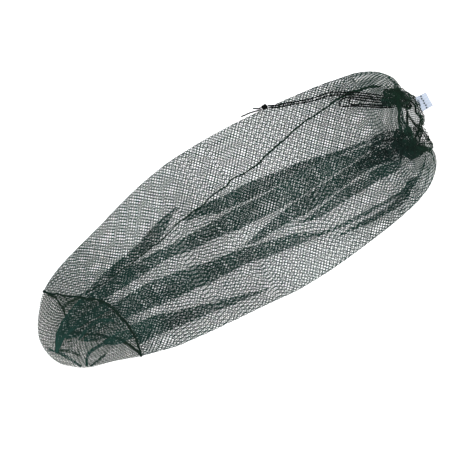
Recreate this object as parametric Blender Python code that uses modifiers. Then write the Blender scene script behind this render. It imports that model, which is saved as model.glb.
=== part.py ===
"""A drawstring keepnet, emptied and laid flat on a floor.

The net is a tube of knitted mesh, closed along one side seam.  Its far end is
sewn to a round base panel, which has wrapped itself round the end of the tube,
and its mouth is a hem drawn up on a cord.  The surplus of the tube lies in
long back-and-forth folds in both layers.

Frame: +X runs along the net towards its mouth, +Z is up and the floor is z = 0.
Lengths in the tables and constants are millimetres, and the model is metres.
"""

import math

import bmesh
import bpy
import numpy as np
from mathutils import Vector
from mathutils.bvhtree import BVHTree

MM = 0.001

# ---- cloth ------------------------------------------------------------------
CLOTH = 1.4            # thickness that one layer of mesh takes up
LAYER_PITCH = 2.6      # from one layer of a fold to the next
EDGE_ROLL = 2.2        # radius at which the cloth turns at the side edges
FOLD_EASE = 8.0        # width over which a layer comes down off a fold
FLAT_STEP = 1.8        # spacing of a fold's points where the fold is closed
FLOOR = CLOTH / 2      # height of the middle of a layer that lies on the floor

# ---- outline of the net as it lies, from the base end to the mouth ----------
TIP_X = -423.0
BODY_END_X = 322.0     # where the mouth starts to draw in
BASE_REF_X = -251.0    # last straight section before the slanted base seam
OUTLINE = (            # x, near edge y, far edge y
    (-423.0, -13.0, -13.0),
    (-412.0, -51.0, 27.0),
    (-394.0, -70.0, 51.0),
    (-376.0, -83.0, 71.0),
    (-357.0, -90.0, 84.0),
    (-321.0, -101.0, 99.5),
    (-284.0, -115.0, 110.0),
    (-247.0, -126.0, 119.0),
    (-211.0, -136.0, 128.0),
    (-174.0, -141.5, 138.0),
    (-101.0, -150.0, 154.0),
    (-27.0, -157.0, 161.5),
    (46.0, -164.0, 161.0),
    (119.0, -162.5, 156.0),
    (192.0, -156.0, 147.0),
    (266.0, -146.5, 136.0),
    (302.0, -139.0, 128.0),
    (322.0, -132.5, 124.0),
)
CROWN = (              # x, height of the upper layer above the side edges
    (-423.0, 2.0),
    (-380.0, 9.0),
    (-300.0, 14.0),
    (-150.0, 17.0),
    (0.0, 19.0),
    (200.0, 20.0),
    (322.0, 24.0),
)

# ---- long folds: x, lower edge y, upper edge y, how far the fold is open ----
SKIRT_FOLD = (
    (-266.0, -97.0, -59.0, 1.0),
    (-211.0, -103.0, -67.0, 1.0),
    (-174.0, -108.0, -81.0, 1.0),
    (-137.0, -114.0, -92.0, 1.0),
    (-101.0, -121.0, -103.0, 1.0),
    (-64.0, -127.0, -114.0, 0.8),
    (-27.0, -132.0, -126.0, 0.4),
    (10.0, -136.0, -130.0, 0.0),
    (119.0, -128.0, -122.0, 0.0),
    (192.0, -130.0, -124.0, 0.0),
    (266.0, -128.0, -122.0, 0.0),
    (290.0, -125.5, -119.5, 0.0),
    (322.0, -110.0, -104.0, 0.0),
)
SWEEP_FOLD = (
    (-266.0, -43.0, -10.0, 1.0),
    (-211.0, -52.0, -8.0, 1.0),
    (-174.0, -59.0, -13.0, 1.0),
    (-137.0, -62.0, -20.0, 1.0),
    (-101.0, -68.0, -28.0, 1.0),
    (-64.0, -70.0, -37.0, 1.0),
    (-27.0, -72.0, -42.0, 1.0),
    (10.0, -81.0, -53.0, 1.0),
    (46.0, -88.0, -61.0, 1.0),
    (82.0, -94.0, -72.0, 1.0),
    (119.0, -101.0, -91.0, 0.9),
    (192.0, -110.0, -101.0, 0.8),
    (266.0, -112.0, -104.0, 0.7),
    (300.0, -106.0, -98.0, 0.3),
    (322.0, -72.0, -66.0, 0.0),
)
CROWN_FOLD = (
    (-266.0, 7.0, 29.0, 1.0),
    (-211.0, 7.0, 35.0, 1.0),
    (-174.0, 9.0, 32.0, 1.0),
    (-137.0, 9.0, 31.0, 1.0),
    (-101.0, 0.0, 28.0, 1.0),
    (-64.0, -2.0, 26.0, 1.0),
    (10.0, -13.0, 24.0, 1.0),
    (82.0, -18.0, 18.0, 1.0),
    (119.0, -20.0, 18.0, 1.0),
    (192.0, -17.0, 13.0, 1.0),
    (266.0, -15.0, 0.0, 0.9),
    (302.0, -12.0, -4.0, 0.4),
    (322.0, 6.0, 12.0, 0.0),
)
UNDER_FOLD = (
    (-9.0, -45.0, -37.0, 0.0),
    (10.0, -50.0, -36.0, 0.7),
    (46.0, -48.0, -31.0, 1.0),
    (82.0, -48.0, -26.0, 1.0),
    (119.0, -51.0, -22.0, 1.0),
    (192.0, -46.0, -20.0, 1.0),
    (266.0, -42.0, -17.0, 1.0),
    (302.0, -52.0, -20.0, 0.8),
    (322.0, -55.0, -45.0, 0.0),
)
UPPER_FOLD = (
    (-160.0, 5.0, 11.0, 0.0),
    (-137.0, 12.0, 18.0, 0.0),
    (-110.0, 27.0, 33.0, 0.0),
    (-90.0, 40.0, 46.0, 0.0),
    (-64.0, 49.0, 61.0, 0.7),
    (-27.0, 35.0, 60.0, 1.0),
    (10.0, 29.0, 55.0, 1.0),
    (46.0, 24.0, 53.0, 1.0),
    (82.0, 20.0, 48.0, 1.0),
    (119.0, 18.0, 42.0, 1.0),
    (156.0, 16.0, 35.0, 1.0),
    (192.0, 14.0, 26.0, 1.0),
    (229.0, 7.0, 16.5, 0.9),
    (266.0, 2.0, 9.0, 0.6),
    (302.0, -2.0, 5.0, 0.0),
    (322.0, 8.0, 14.0, 0.0),
)
SEAM_FOLD = (
    (-300.0, 31.0, 37.0, 0.5),
    (-247.0, 35.0, 50.0, 1.0),
    (-211.0, 38.0, 55.0, 1.0),
    (-174.0, 42.0, 62.0, 1.0),
    (-137.0, 48.0, 73.0, 1.0),
    (-110.0, 62.0, 82.0, 0.9),
    (-82.0, 78.0, 85.0, 0.3),
    (-64.0, 84.0, 90.0, 0.0),
    (192.0, 80.0, 86.0, 0.0),
    (322.0, 62.0, 68.0, 0.0),
)
TOP_FOLDS = (SKIRT_FOLD, SWEEP_FOLD, CROWN_FOLD)       # in order of y
BOTTOM_FOLDS = (UNDER_FOLD, UPPER_FOLD, SEAM_FOLD)     # in order of y

# ---- slanted seam where the tube meets the round base -----------------------
BASE_SEAM = (          # part of the width from the near edge, x above, x below
    (0.00, -276.0, -276.0),
    (0.12, -268.0, -284.0),
    (0.23, -266.0, -306.0),
    (0.32, -268.0, -334.0),
    (0.43, -273.0, -358.0),
    (0.52, -281.0, -362.0),
    (0.60, -299.0, -358.0),
    (0.68, -319.0, -354.0),
    (0.78, -339.0, -354.0),
    (0.92, -360.0, -362.0),
    (1.00, -368.0, -368.0),
)
BASE_SEAM_RADIUS = 2.0
PANEL_SETBACK = 3.0     # from the bead's middle line to the edge of the base panel
TUBE_SETBACK = 3.4      # and to the edge of the tube, whose folds are faceted
BASE_SHARES = (0.03, 0.08, 0.16, 0.24, 0.32, 0.38, 0.44, 0.5, 0.56, 0.62, 0.68, 0.76, 0.84, 0.92, 0.97)
SIDE_SEAM = (          # x, y of the overlocked seam along the tube
    (-300.0, 33.5),
    (-262.0, 32.0),
    (-229.0, 35.0),
    (-174.0, 40.5),
    (-137.0, 44.0),
    (-119.0, 48.0),
    (-106.0, 53.0),
    (-70.0, 57.0),
    (-27.0, 62.5),
    (-13.0, 67.5),
    (18.0, 66.0),
    (30.0, 71.5),
    (82.0, 71.5),
    (119.0, 79.0),
    (156.0, 86.5),
    (192.0, 92.0),
    (238.0, 95.0),
    (275.0, 97.0),
    (302.0, 94.5),
    (318.0, 91.0),
)
SIDE_SEAM_RADIUS = 1.3

# ---- gathered mouth ---------------------------------------------------------
RING_CENTRE = (369.0, -3.0, 30.0)
RING_TO_TOP = (-20.0, -10.0, 21.5)     # from its centre: the mouth faces forwards and up
RING_TO_SIDE = (4.0, 38.0, 0.0)
HEM_OUTER = 7.5        # radius where the hem starts round the cord
HEM_INNER = 4.5        # radius where it is sewn down inside
HEM_END = math.radians(300)
PLEATS = 14
PLEAT_DEPTH = 5.0
KEEP_STRAIGHT = 0.35   # how far the cloth runs straight into the hem, not spread evenly
MOUTH_STATIONS = 5
HEM_STATIONS = 5
CORD_RADIUS = 1.25
CORD_INSET = 1.4       # the drawn cord pulls inwards against its casing

# ---- cord: the routes of its free strands, x, y, z --------------------------
STRAND_UPPER = (       # from the hem to the knot
    (357.0, 41.0, 44.6),
    (355.5, 48.0, 42.0),
    (352.0, 54.5, 38.9),
    (345.0, 61.4, 35.4),
    (337.3, 66.9, 32.1),
    (330.0, 73.3, 29.2),
    (320.8, 80.7, 25.8),
    (311.7, 88.0, 24.9),
    (298.8, 96.2, 25.0),
    (287.8, 103.6, 20.8),
    (275.0, 111.8, 18.3),
    (262.2, 117.0, 17.3),
    (243.8, 120.6, 16.5),
    (223.7, 126.5, 15.6),
    (210.8, 132.0, 14.6),
    (192.5, 139.3, 12.9),
    (174.2, 146.0, 10.4),
    (165.0, 151.0, 9.4),
    (159.9, 153.8, 9.8),
)
STRAND_LOWER = (       # its partner, to the same knot
    (352.5, 38.5, 42.9),
    (351.5, 44.5, 41.4),
    (347.5, 51.0, 38.7),
    (339.2, 60.0, 34.4),
    (330.0, 67.0, 30.6),
    (320.8, 75.2, 27.0),
    (311.7, 82.5, 25.2),
    (298.8, 91.0, 25.2),
    (287.8, 97.9, 24.6),
    (275.0, 105.8, 20.2),
    (262.2, 111.6, 18.5),
    (243.8, 115.8, 17.5),
    (223.7, 121.9, 16.5),
    (210.8, 127.6, 15.5),
    (192.5, 135.0, 14.3),
    (174.2, 141.6, 12.8),
    (165.0, 146.5, 11.4),
    (159.9, 149.9, 10.9),
)
SLACK_OUTER = (        # a loop of slack, from the hem back to the hem
    (351.5, 31.0, 44.2),
    (346.5, 35.0, 41.0),
    (335.5, 41.0, 35.6),
    (324.5, 48.4, 31.5),
    (313.5, 56.5, 29.2),
    (302.5, 64.8, 27.9),
    (289.7, 73.0, 26.1),
    (277.0, 80.0, 24.6),
    (271.5, 85.0, 23.7),
    (273.5, 90.5, 22.9),
    (279.6, 93.1, 22.7),
    (287.8, 91.7, 22.9),
    (298.8, 86.0, 24.0),
    (311.7, 77.2, 25.9),
    (320.8, 69.8, 27.7),
    (330.0, 61.8, 31.7),
    (339.2, 54.5, 35.5),
    (344.5, 48.8, 37.9),
    (348.0, 42.5, 40.5),
)
SLACK_INNER = (        # the second turn of that loop
    (349.0, 37.0, 42.0),
    (343.0, 40.8, 38.3),
    (335.5, 45.3, 35.2),
    (324.5, 53.0, 31.3),
    (313.5, 61.3, 28.9),
    (304.5, 67.6, 27.4),
    (296.8, 71.8, 26.5),
    (290.5, 76.0, 25.6),
    (286.0, 80.6, 24.6),
    (286.4, 85.2, 23.8),
    (291.2, 85.8, 23.9),
    (298.8, 80.8, 24.9),
    (309.8, 73.0, 26.6),
    (319.0, 65.2, 28.5),
    (328.2, 57.4, 32.0),
    (337.0, 50.6, 35.2),
    (342.5, 46.4, 37.5),
)
TAIL_SHORT = (         # from the knot over the side edge to the floor
    (147.2, 157.2, 9.0),
    (143.0, 158.0, 6.6),
    (138.5, 161.2, 2.6),
    (134.0, 164.5, 1.4),
)
TAIL_LONG = (
    (146.2, 153.7, 10.6),
    (140.0, 155.6, 7.6),
    (132.0, 158.2, 3.2),
    (124.0, 160.2, 1.5),
    (116.0, 161.2, 1.4),
    (108.0, 162.4, 1.4),
)
CORD_STEP = 6.0        # spacing of a cord's points
KNOT_CENTRE = (153.0, 155.0, 10.5)
KNOT_REACH = (6.0, 5.0, 4.0)

# ---- blank label sewn to the hem --------------------------------------------
LABEL_CORNER = (395.9, -2.0)
LABEL_ALONG = (0.9988, -0.05)
LABEL_LENGTH = 23.0
LABEL_WIDTH = 28.0
LABEL_LIFT = 8.0       # height of its sewn edge over its free edge
LABEL_THICKNESS = 1.0

FINISHES = {           # colour, roughness
    "mesh_polyester": ((0.030, 0.075, 0.060), 0.65),
    "overlock_thread": ((0.012, 0.035, 0.026), 0.75),
    "drawstring_cord": ((0.010, 0.012, 0.012), 0.60),
    "label_satin": ((0.80, 0.82, 0.84), 0.45),
}


def smooth_step(value):
    """0 below 0, 1 above 1, and an even S between."""
    value = np.clip(value, 0.0, 1.0)
    return value * value * (3.0 - 2.0 * value)


def read_table(table, key, column, warp=None):
    """Column of a table at key: cubic Hermite arcs through its rows."""
    rows = np.array(table, dtype=float)
    place, value = rows[:, 0], rows[:, column]
    key = np.clip(np.asarray(key, dtype=float), place[0], place[-1])
    if warp is not None:
        place, key = warp(place), warp(key)
    slope = np.diff(value) / np.diff(place)
    tangent = np.empty_like(value)
    tangent[1:-1] = np.where(slope[1:] * slope[:-1] > 0, (slope[1:] + slope[:-1]) / 2, 0.0)
    tangent[0], tangent[-1] = slope[0], slope[-1]
    span = np.clip(np.searchsorted(place, key, side="right") - 1, 0, len(place) - 2)
    width = place[span + 1] - place[span]
    part = (key - place[span]) / width
    return ((1 + 2 * part) * (1 - part) ** 2 * value[span]
            + part * (1 - part) ** 2 * width * tangent[span]
            + part ** 2 * (3 - 2 * part) * value[span + 1]
            - part ** 2 * (1 - part) * width * tangent[span + 1])


def from_tip(x):
    """Root of the distance to the round tip, in which the outline is even."""
    return np.sqrt(np.maximum(x - TIP_X, 0.0))


def near_edge(x):
    return read_table(OUTLINE, x, 1, from_tip)


def far_edge(x):
    return read_table(OUTLINE, x, 2, from_tip)


def roll_share(x):
    """How much of the side edge's roll is left close to the tip."""
    return np.sqrt(np.clip((x - TIP_X) / 4.0, 0.0, 1.0))


def upper_height(x, y):
    """Middle of the upper layer, its folds left out: a soft crown with long ripples."""
    near, far = near_edge(x), far_edge(x)
    across = np.clip((y - near) / np.maximum(far - near, 1e-6), 0.0, 1.0)
    bulge = (1.0 - np.abs(2.0 * across - 1.0) ** 2.4) ** 0.7
    ripple = (1.1 * np.sin(2 * math.pi * (y / 74.0 + x / 520.0))
              + 0.8 * np.sin(2 * math.pi * (y / 41.0 - x / 300.0) + 1.0))
    return (FLOOR + 2 * EDGE_ROLL * roll_share(x)
            + (read_table(CROWN, x, 1) + ripple * smooth_step((x - TIP_X) / 60.0)) * bulge)


def fold_points(fold, x, heading):
    """The ten points of one back-and-forth fold in a section, as y and layers above the base.

    heading is +1 where the section is walked towards +Y, and -1 towards -Y.
    """
    low, high, opening = (read_table(fold, x, column) for column in (1, 2, 3))
    middle = (low + high) / 2
    risen = smooth_step(opening / 0.35)
    spread = np.clip((opening - 0.35) / 0.65, 0.0, 1.0)
    half = LAYER_PITCH + np.maximum((high - low) / 2 - LAYER_PITCH, 0.0) * spread
    turn = LAYER_PITCH / 2
    folded = (
        (-half - 3.0, 0.0),
        (half - turn, 0.0),
        (half, 0.5),
        (half - turn, 0.9),
        (-half + turn, 1.1),
        (-half, 1.5),
        (-half + turn, 2.0),
        (half + 1.5, 2.0),
        (half + FOLD_EASE, 0.0),
    )
    places, layers = [], []
    for step, (offset, layer) in enumerate(folded):
        flat = (step - 4) * FLAT_STEP
        places.append(middle + heading * (flat + (offset - flat) * risen))
        layers.append(layer * risen)
    return places, layers


def section(x_of):
    """The closed section of the tube, from the near edge over the top and back below.

    x_of(share, above) gives the x of a point from its share of the width, so that
    the section can slant.  Returns one row of x, y, z for each point.
    """
    points = []

    def edge_points(near):
        y_edge, inward = (near_edge, 1.0) if near else (far_edge, -1.0)
        x = x_of(0.0 if near else 1.0, True)
        roll = EDGE_ROLL * roll_share(x)
        turn = ((inward * roll, 0.0), (0.0, roll), (inward * roll, 2 * roll))
        order = turn if near else turn[::-1]
        return [(x, y_edge(x) + dy, FLOOR + dz) for dy, dz in order]

    def plain(share, above):
        x = x_of(share, above)
        y = near_edge(x) + share * (far_edge(x) - near_edge(x))
        return (x, y, upper_height(x, y) if above else FLOOR)

    def folded(fold, above):
        middle = (read_table(fold, BASE_REF_X, 1) + read_table(fold, BASE_REF_X, 2)) / 2
        width = far_edge(BASE_REF_X) - near_edge(BASE_REF_X)
        share = (middle - near_edge(BASE_REF_X)) / width
        heading = 1 if above else -1
        rough_x = x_of(share, above)
        rows = []
        places, layers = fold_points(fold, rough_x, heading)
        for y, layer in zip(places, layers):
            near, far = near_edge(rough_x), far_edge(rough_x)
            x = x_of((y - near) / (far - near), above)
            base = upper_height(x, y) if above else FLOOR
            rows.append((x, y, base + layer * LAYER_PITCH))
        return rows

    points += edge_points(near=True)
    points += [plain(share, True) for share in (0.02, 0.04)]
    for fold in TOP_FOLDS:
        points += folded(fold, True)
    points += [plain(share, True) for share in (0.74, 0.86, 0.96)]
    points += edge_points(near=False)
    points += [plain(share, False) for share in (0.94, 0.85)]
    for fold in reversed(BOTTOM_FOLDS):
        points += folded(fold, False)
    points += [plain(share, False) for share in (0.22, 0.12, 0.03)]
    return np.array(points)


def seam_x(share, above):
    return read_table(BASE_SEAM, share, 1 if above else 2)


def seam_setback(share, above, setback):
    """Distance along X that keeps an edge clear of the seam, which slants."""
    step = 0.01
    share = np.clip(share, step, 1.0 - step)
    width = far_edge(BASE_REF_X) - near_edge(BASE_REF_X)
    lean = (seam_x(share + step, above) - seam_x(share - step, above)) / (2 * step * width)
    return setback * np.sqrt(1.0 + lean * lean)


def body_rings():
    """Sections of the tube from the slanted base seam to the start of the mouth."""
    rings = []
    for part in (1.0, 0.66, 0.33):
        def slanted(share, above, part=part):
            edge = seam_x(share, above) + seam_setback(share, above, TUBE_SETBACK)
            return BASE_REF_X + part * (edge - BASE_REF_X)
        rings.append(section(slanted))
    straight = (-251, -211, -174, -137, -105, -75, -45, -9, 28, 82, 137, 192, 247, 285,
                305, BODY_END_X)
    for x in straight:
        rings.append(section(lambda share, above, x=float(x): x))
    return rings


def ring_frame(turn):
    """Centre line of the hem, outward and forward directions at an angle from its top."""
    reach = np.outer(np.cos(turn), RING_TO_TOP) + np.outer(np.sin(turn), RING_TO_SIDE)
    heading = np.outer(-np.sin(turn), RING_TO_TOP) + np.outer(np.cos(turn), RING_TO_SIDE)
    heading /= np.linalg.norm(heading, axis=1, keepdims=True)
    forward = np.cross(RING_TO_SIDE, RING_TO_TOP)
    forward = np.broadcast_to(forward / np.linalg.norm(forward), reach.shape)
    outward = np.cross(forward, heading)
    return np.array(RING_CENTRE) + reach, outward, forward


def mouth_rings(start):
    """Pleated funnel from the last section to the hem, then the hem's curl round the cord."""
    count = len(start)
    even = 2 * math.pi * (np.arange(count) - 1) / count - math.pi / 2
    middle = (start[:, 1].max() + start[:, 1].min()) / 2
    reach = (start[:, 1].max() - start[:, 1].min()) / 2
    straight = np.arcsin(np.clip((start[:, 1] - middle) / reach, -1.0, 1.0))
    straight = np.where(np.cos(even) >= 0, straight, math.pi - straight)
    straight -= 2 * math.pi * (straight - even > math.pi)
    turn = (1 - KEEP_STRAIGHT) * even + KEEP_STRAIGHT * straight
    centre, outward, forward = ring_frame(turn)
    top, side = np.cos(turn), np.sin(turn)
    lead = np.where(top < 0, np.radians(60.0 + 102.0 * top), np.radians(60.0 - 30.0 * top))
    curl = (np.cos(lead)[:, None] * outward + np.sin(lead)[:, None] * forward)
    sweep = (-np.sin(lead)[:, None] * outward + np.cos(lead)[:, None] * forward)
    end = centre + HEM_OUTER * curl
    leave = start + np.stack((22.0 + 8.0 * side ** 2, 0.0 * side, 12.0 * np.maximum(top, 0)), axis=-1)
    bulge = np.stack((26.0 * side ** 2, 20.0 * side ** 3, -8.0 * side ** 2), axis=-1)
    arrive = end - 14.0 * sweep + bulge
    inward = -np.stack((0.0 * top, side, top), axis=-1)
    pleat = (1 - np.cos(PLEATS * turn))[:, None] / 2 * inward
    rings = []
    for step in range(1, MOUTH_STATIONS + 1):
        part = step / MOUTH_STATIONS
        ring = ((1 - part) ** 3 * start + 3 * part * (1 - part) ** 2 * leave
                + 3 * part ** 2 * (1 - part) * arrive + part ** 3 * end)
        depth = PLEAT_DEPTH * smooth_step(part * 1.3) * (1 - 0.6 * smooth_step(part * 3 - 2))
        rings.append(ring + depth * pleat)
    for step in range(1, HEM_STATIONS + 1):
        part = step / HEM_STATIONS
        angle = lead + (HEM_END - lead) * part
        radius = HEM_OUTER + (HEM_INNER - HEM_OUTER) * smooth_step(part * 2)
        ring = centre + radius * (np.cos(angle)[:, None] * outward + np.sin(angle)[:, None] * forward)
        rings.append(ring + PLEAT_DEPTH * 0.4 * (1 - smooth_step(part * 3)) * pleat)
    for ring in rings:
        ring[:, 2] = np.maximum(ring[:, 2], FLOOR)
    return rings


def finish(name):
    material = bpy.data.materials.get(name) or bpy.data.materials.new(name)
    colour, roughness = FINISHES[name]
    material.use_nodes = True
    shader = material.node_tree.nodes["Principled BSDF"]
    shader.inputs["Base Color"].default_value = (*colour, 1.0)
    shader.inputs["Roughness"].default_value = roughness
    shader.inputs["Metallic"].default_value = 0.0
    return material


def add_object(name, data, material, collection):
    piece = bpy.data.objects.new(name, data)
    data.materials.append(finish(material))
    collection.objects.link(piece)
    return piece


def ring_mesh(name, rings, pole=None):
    """Open surface lofted through rings of equal length, closed at a pole if one is given."""
    count = len(rings[0])
    points = [tuple(point * MM) for ring in rings for point in ring]
    faces = []
    for row in range(len(rings) - 1):
        for column in range(count):
            after = (column + 1) % count
            faces.append((row * count + column, (row + 1) * count + column,
                          (row + 1) * count + after, row * count + after))
    if pole is not None:
        points.append(tuple(np.array(pole) * MM))
        last = (len(rings) - 1) * count
        faces += [(last + column, len(points) - 1, last + (column + 1) % count)
                  for column in range(count)]
    mesh = bpy.data.meshes.new(name)
    mesh.from_pydata(points, [], faces)
    work = bmesh.new()
    work.from_mesh(mesh)
    bmesh.ops.recalc_face_normals(work, faces=work.faces)
    work.to_mesh(mesh)
    work.free()
    mesh.shade_smooth()
    return mesh


def give_thickness(piece, thickness):
    wall = piece.modifiers.new("cloth thickness", "SOLIDIFY")
    wall.thickness = thickness * MM
    wall.offset = 0.0
    wall.use_even_offset = False


def net_body(collection):
    rings = body_rings()
    rings += mouth_rings(rings[-1])
    mesh = ring_mesh("net_body", rings)
    piece = add_object("net_body", mesh, "mesh_polyester", collection)
    give_thickness(piece, CLOTH)
    return piece


def base_panel(collection):
    """The round base: from the slanted seam round the end of the net to its tip."""
    rings = []
    for part in (0.0, 0.14, 0.28, 0.42, 0.56, 0.69, 0.80, 0.90):
        def slanted(share, above, part=part):
            edge = seam_x(share, above) - seam_setback(share, above, PANEL_SETBACK)
            return TIP_X + (edge - TIP_X) * (1 - part) ** 1.7
        points = []
        for above, shares in ((True, BASE_SHARES), (False, BASE_SHARES[::-1])):
            corner = 0.0 if above else 1.0
            x = slanted(corner, above)
            y_edge = near_edge(x) if above else far_edge(x)
            points.append((x, y_edge, FLOOR + EDGE_ROLL * roll_share(x)))
            for share in shares:
                x = slanted(share, above)
                y = near_edge(x) + share * (far_edge(x) - near_edge(x))
                points.append((x, y, upper_height(x, y) if above else FLOOR))
        rings.append(np.array(points))
    tip = (TIP_X, float(near_edge(TIP_X)), FLOOR)
    mesh = ring_mesh("base_panel", rings, pole=tip)
    piece = add_object("base_panel", mesh, "mesh_polyester", collection)
    give_thickness(piece, CLOTH)
    return piece


def tube(name, route, radius, material, collection, closed=False, sides=2):
    """Round bead or cord along a route of x, y, z points."""
    curve = bpy.data.curves.new(name, "CURVE")
    curve.dimensions = "3D"
    curve.bevel_depth = radius * MM
    curve.bevel_resolution = sides
    curve.use_fill_caps = not closed
    spline = curve.splines.new("POLY")
    spline.points.add(len(route) - 1)
    for point, place in zip(spline.points, route):
        point.co = (*(float(value) * MM for value in place), 1.0)
    spline.use_cyclic_u = closed
    return add_object(name, curve, material, collection)


def base_seam(collection):
    """Overlocked bead all round the join of tube and base, above and below."""
    route = []
    for above, order in ((True, BASE_SHARES), (False, BASE_SHARES[::-1])):
        share = 0.0 if above else 1.0
        x = float(seam_x(share, above))
        y = near_edge(x) if above else far_edge(x)
        route.append((x, y, BASE_SEAM_RADIUS + 2.4))
        for share in order:
            x = seam_x(share, above)
            y = near_edge(x) + share * (far_edge(x) - near_edge(x))
            z = upper_height(x, y) + 1.2 if above else BASE_SEAM_RADIUS + 0.05
            route.append((x, y, z))
    return tube("base_seam", route, BASE_SEAM_RADIUS, "overlock_thread", collection, closed=True)


def cloth_tree(*pieces):
    """Search tree over the finished surfaces of some pieces, for laying things on them."""
    graph = bpy.context.evaluated_depsgraph_get()
    points, faces = [], []
    for piece in pieces:
        mesh = bpy.data.meshes.new_from_object(piece.evaluated_get(graph))
        first = len(points)
        points += [vertex.co.copy() for vertex in mesh.vertices]
        faces += [[first + corner for corner in face.vertices] for face in mesh.polygons]
        bpy.data.meshes.remove(mesh)
    return BVHTree.FromPolygons(points, faces)


def lay_on(tree, x, y, radius):
    """Height at which a cord of this radius clears the cloth at x, y."""
    heights = [0.0]
    for step_x, step_y in ((0, 0), (1, 0), (-1, 0), (0, 1), (0, -1), (0, 1.6), (0, -1.6)):
        above = Vector(((x + step_x * radius) * MM, (y + step_y * radius) * MM, 1.0))
        hit = tree.ray_cast(above, Vector((0, 0, -1)))[0]
        if hit is not None:
            heights.append(hit.z / MM)
    return max(heights) + radius + 0.3


def side_seam(collection, tree):
    route = []
    for x in np.arange(SIDE_SEAM[0][0], SIDE_SEAM[-1][0] + 1, 15.0):
        y = float(read_table(SIDE_SEAM, x, 1))
        route.append((x, y, lay_on(tree, x, y, SIDE_SEAM_RADIUS)))
    return tube("side_seam", route, SIDE_SEAM_RADIUS, "overlock_thread", collection)


def drawstring_casing_run(collection):
    """The part of the cord inside the hem, open where its ends come out."""
    turn = np.radians(np.linspace(60.0, 400.0, 48))
    centre, outward, forward = ring_frame(turn)
    route = centre - CORD_INSET * outward
    return tube("drawstring_casing_run", route, CORD_RADIUS, "drawstring_cord", collection)


def smooth_route(route):
    """Even points along a Catmull-Rom curve through a route's own points."""
    rows = np.array(route)
    rows = np.vstack((2 * rows[0] - rows[1], rows, 2 * rows[-1] - rows[-2]))
    part = np.linspace(0.0, 1.0, 24, endpoint=False)[:, None]
    pieces = []
    for a, b, c, d in zip(rows[:-3], rows[1:-2], rows[2:-1], rows[3:]):
        pieces.append(0.5 * (2 * b + (c - a) * part + (2 * a - 5 * b + 4 * c - d) * part ** 2
                             + (3 * b - a - 3 * c + d) * part ** 3))
    fine = np.vstack(pieces + [rows[-2:-1]])
    walked = np.concatenate(([0.0], np.cumsum(np.linalg.norm(np.diff(fine, axis=0), axis=1))))
    count = max(int(round(walked[-1] / CORD_STEP)), 3)
    even = np.linspace(0.0, walked[-1], count + 1)
    return np.stack([np.interp(even, walked, fine[:, axis]) for axis in range(3)], axis=-1)


def drawstring(collection):
    """The cord's free strands, its slack loop and its two ends, each a tube."""
    routes = {
        "strand_upper": STRAND_UPPER,
        "strand_lower": STRAND_LOWER,
        "slack_outer": SLACK_OUTER,
        "slack_inner": SLACK_INNER,
        "tail_short": TAIL_SHORT,
        "tail_long": TAIL_LONG,
    }
    for name, route in routes.items():
        tube("drawstring_" + name, smooth_route(route), CORD_RADIUS, "drawstring_cord", collection)


def drawstring_knot(collection):
    """Overhand knot that joins both strands: a rounded lump with the cord's wraps raised on it."""
    mesh = bpy.data.meshes.new("drawstring_knot")
    work = bmesh.new()
    bmesh.ops.create_uvsphere(work, u_segments=20, v_segments=12, radius=1.0)
    for vertex in work.verts:
        x, y, z = vertex.co
        around = math.atan2(z, y)
        wrap = 1.0 + 0.07 * math.cos(2 * around + 5.0 * x) * (1 - x * x)
        vertex.co = Vector(((KNOT_CENTRE[0] + KNOT_REACH[0] * x) * MM,
                            (KNOT_CENTRE[1] + KNOT_REACH[1] * y * wrap) * MM,
                            (KNOT_CENTRE[2] + KNOT_REACH[2] * z * wrap) * MM))
    work.to_mesh(mesh)
    work.free()
    mesh.shade_smooth()
    return add_object("drawstring_knot", mesh, "drawstring_cord", collection)


def label(collection):
    """Bare woven label: sewn by one end to the hem, it droops to the floor."""
    columns, rows = 7, 5
    along = np.array(LABEL_ALONG)
    across = np.array((-LABEL_ALONG[1], LABEL_ALONG[0]))
    points = []
    for row in range(rows):
        for column in range(columns):
            part = column / (columns - 1)
            place = (np.array(LABEL_CORNER) + along * LABEL_LENGTH * part
                     + across * LABEL_WIDTH * row / (rows - 1))
            height = LABEL_THICKNESS / 2 + 0.1 + LABEL_LIFT * (1 - part) ** 2
            points.append((place[0] * MM, place[1] * MM, height * MM))
    faces = [(row * columns + column, row * columns + column + 1,
              (row + 1) * columns + column + 1, (row + 1) * columns + column)
             for row in range(rows - 1) for column in range(columns - 1)]
    mesh = bpy.data.meshes.new("label")
    mesh.from_pydata(points, [], faces)
    piece = add_object("label", mesh, "label_satin", collection)
    give_thickness(piece, LABEL_THICKNESS)
    return piece


def build():
    for old in list(bpy.data.objects):
        bpy.data.objects.remove(old, do_unlink=True)
    collection = bpy.data.collections.new("keepnet")
    bpy.context.scene.collection.children.link(collection)
    body = net_body(collection)
    base = base_panel(collection)
    base_seam(collection)
    tree = cloth_tree(body, base)
    side_seam(collection, tree)
    drawstring_casing_run(collection)
    drawstring(collection)
    drawstring_knot(collection)
    label(collection)


build()
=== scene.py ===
"""A drawstring keepnet of knitted mesh, emptied and laid flat on a studio floor.

The yarns of the tube and of the round base are laid as a zigzag lattice over the folded
cloth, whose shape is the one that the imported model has.  +X runs towards the mouth.
Tables are in millimetres, and the model is in metres.
"""

import functools
import math

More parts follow.
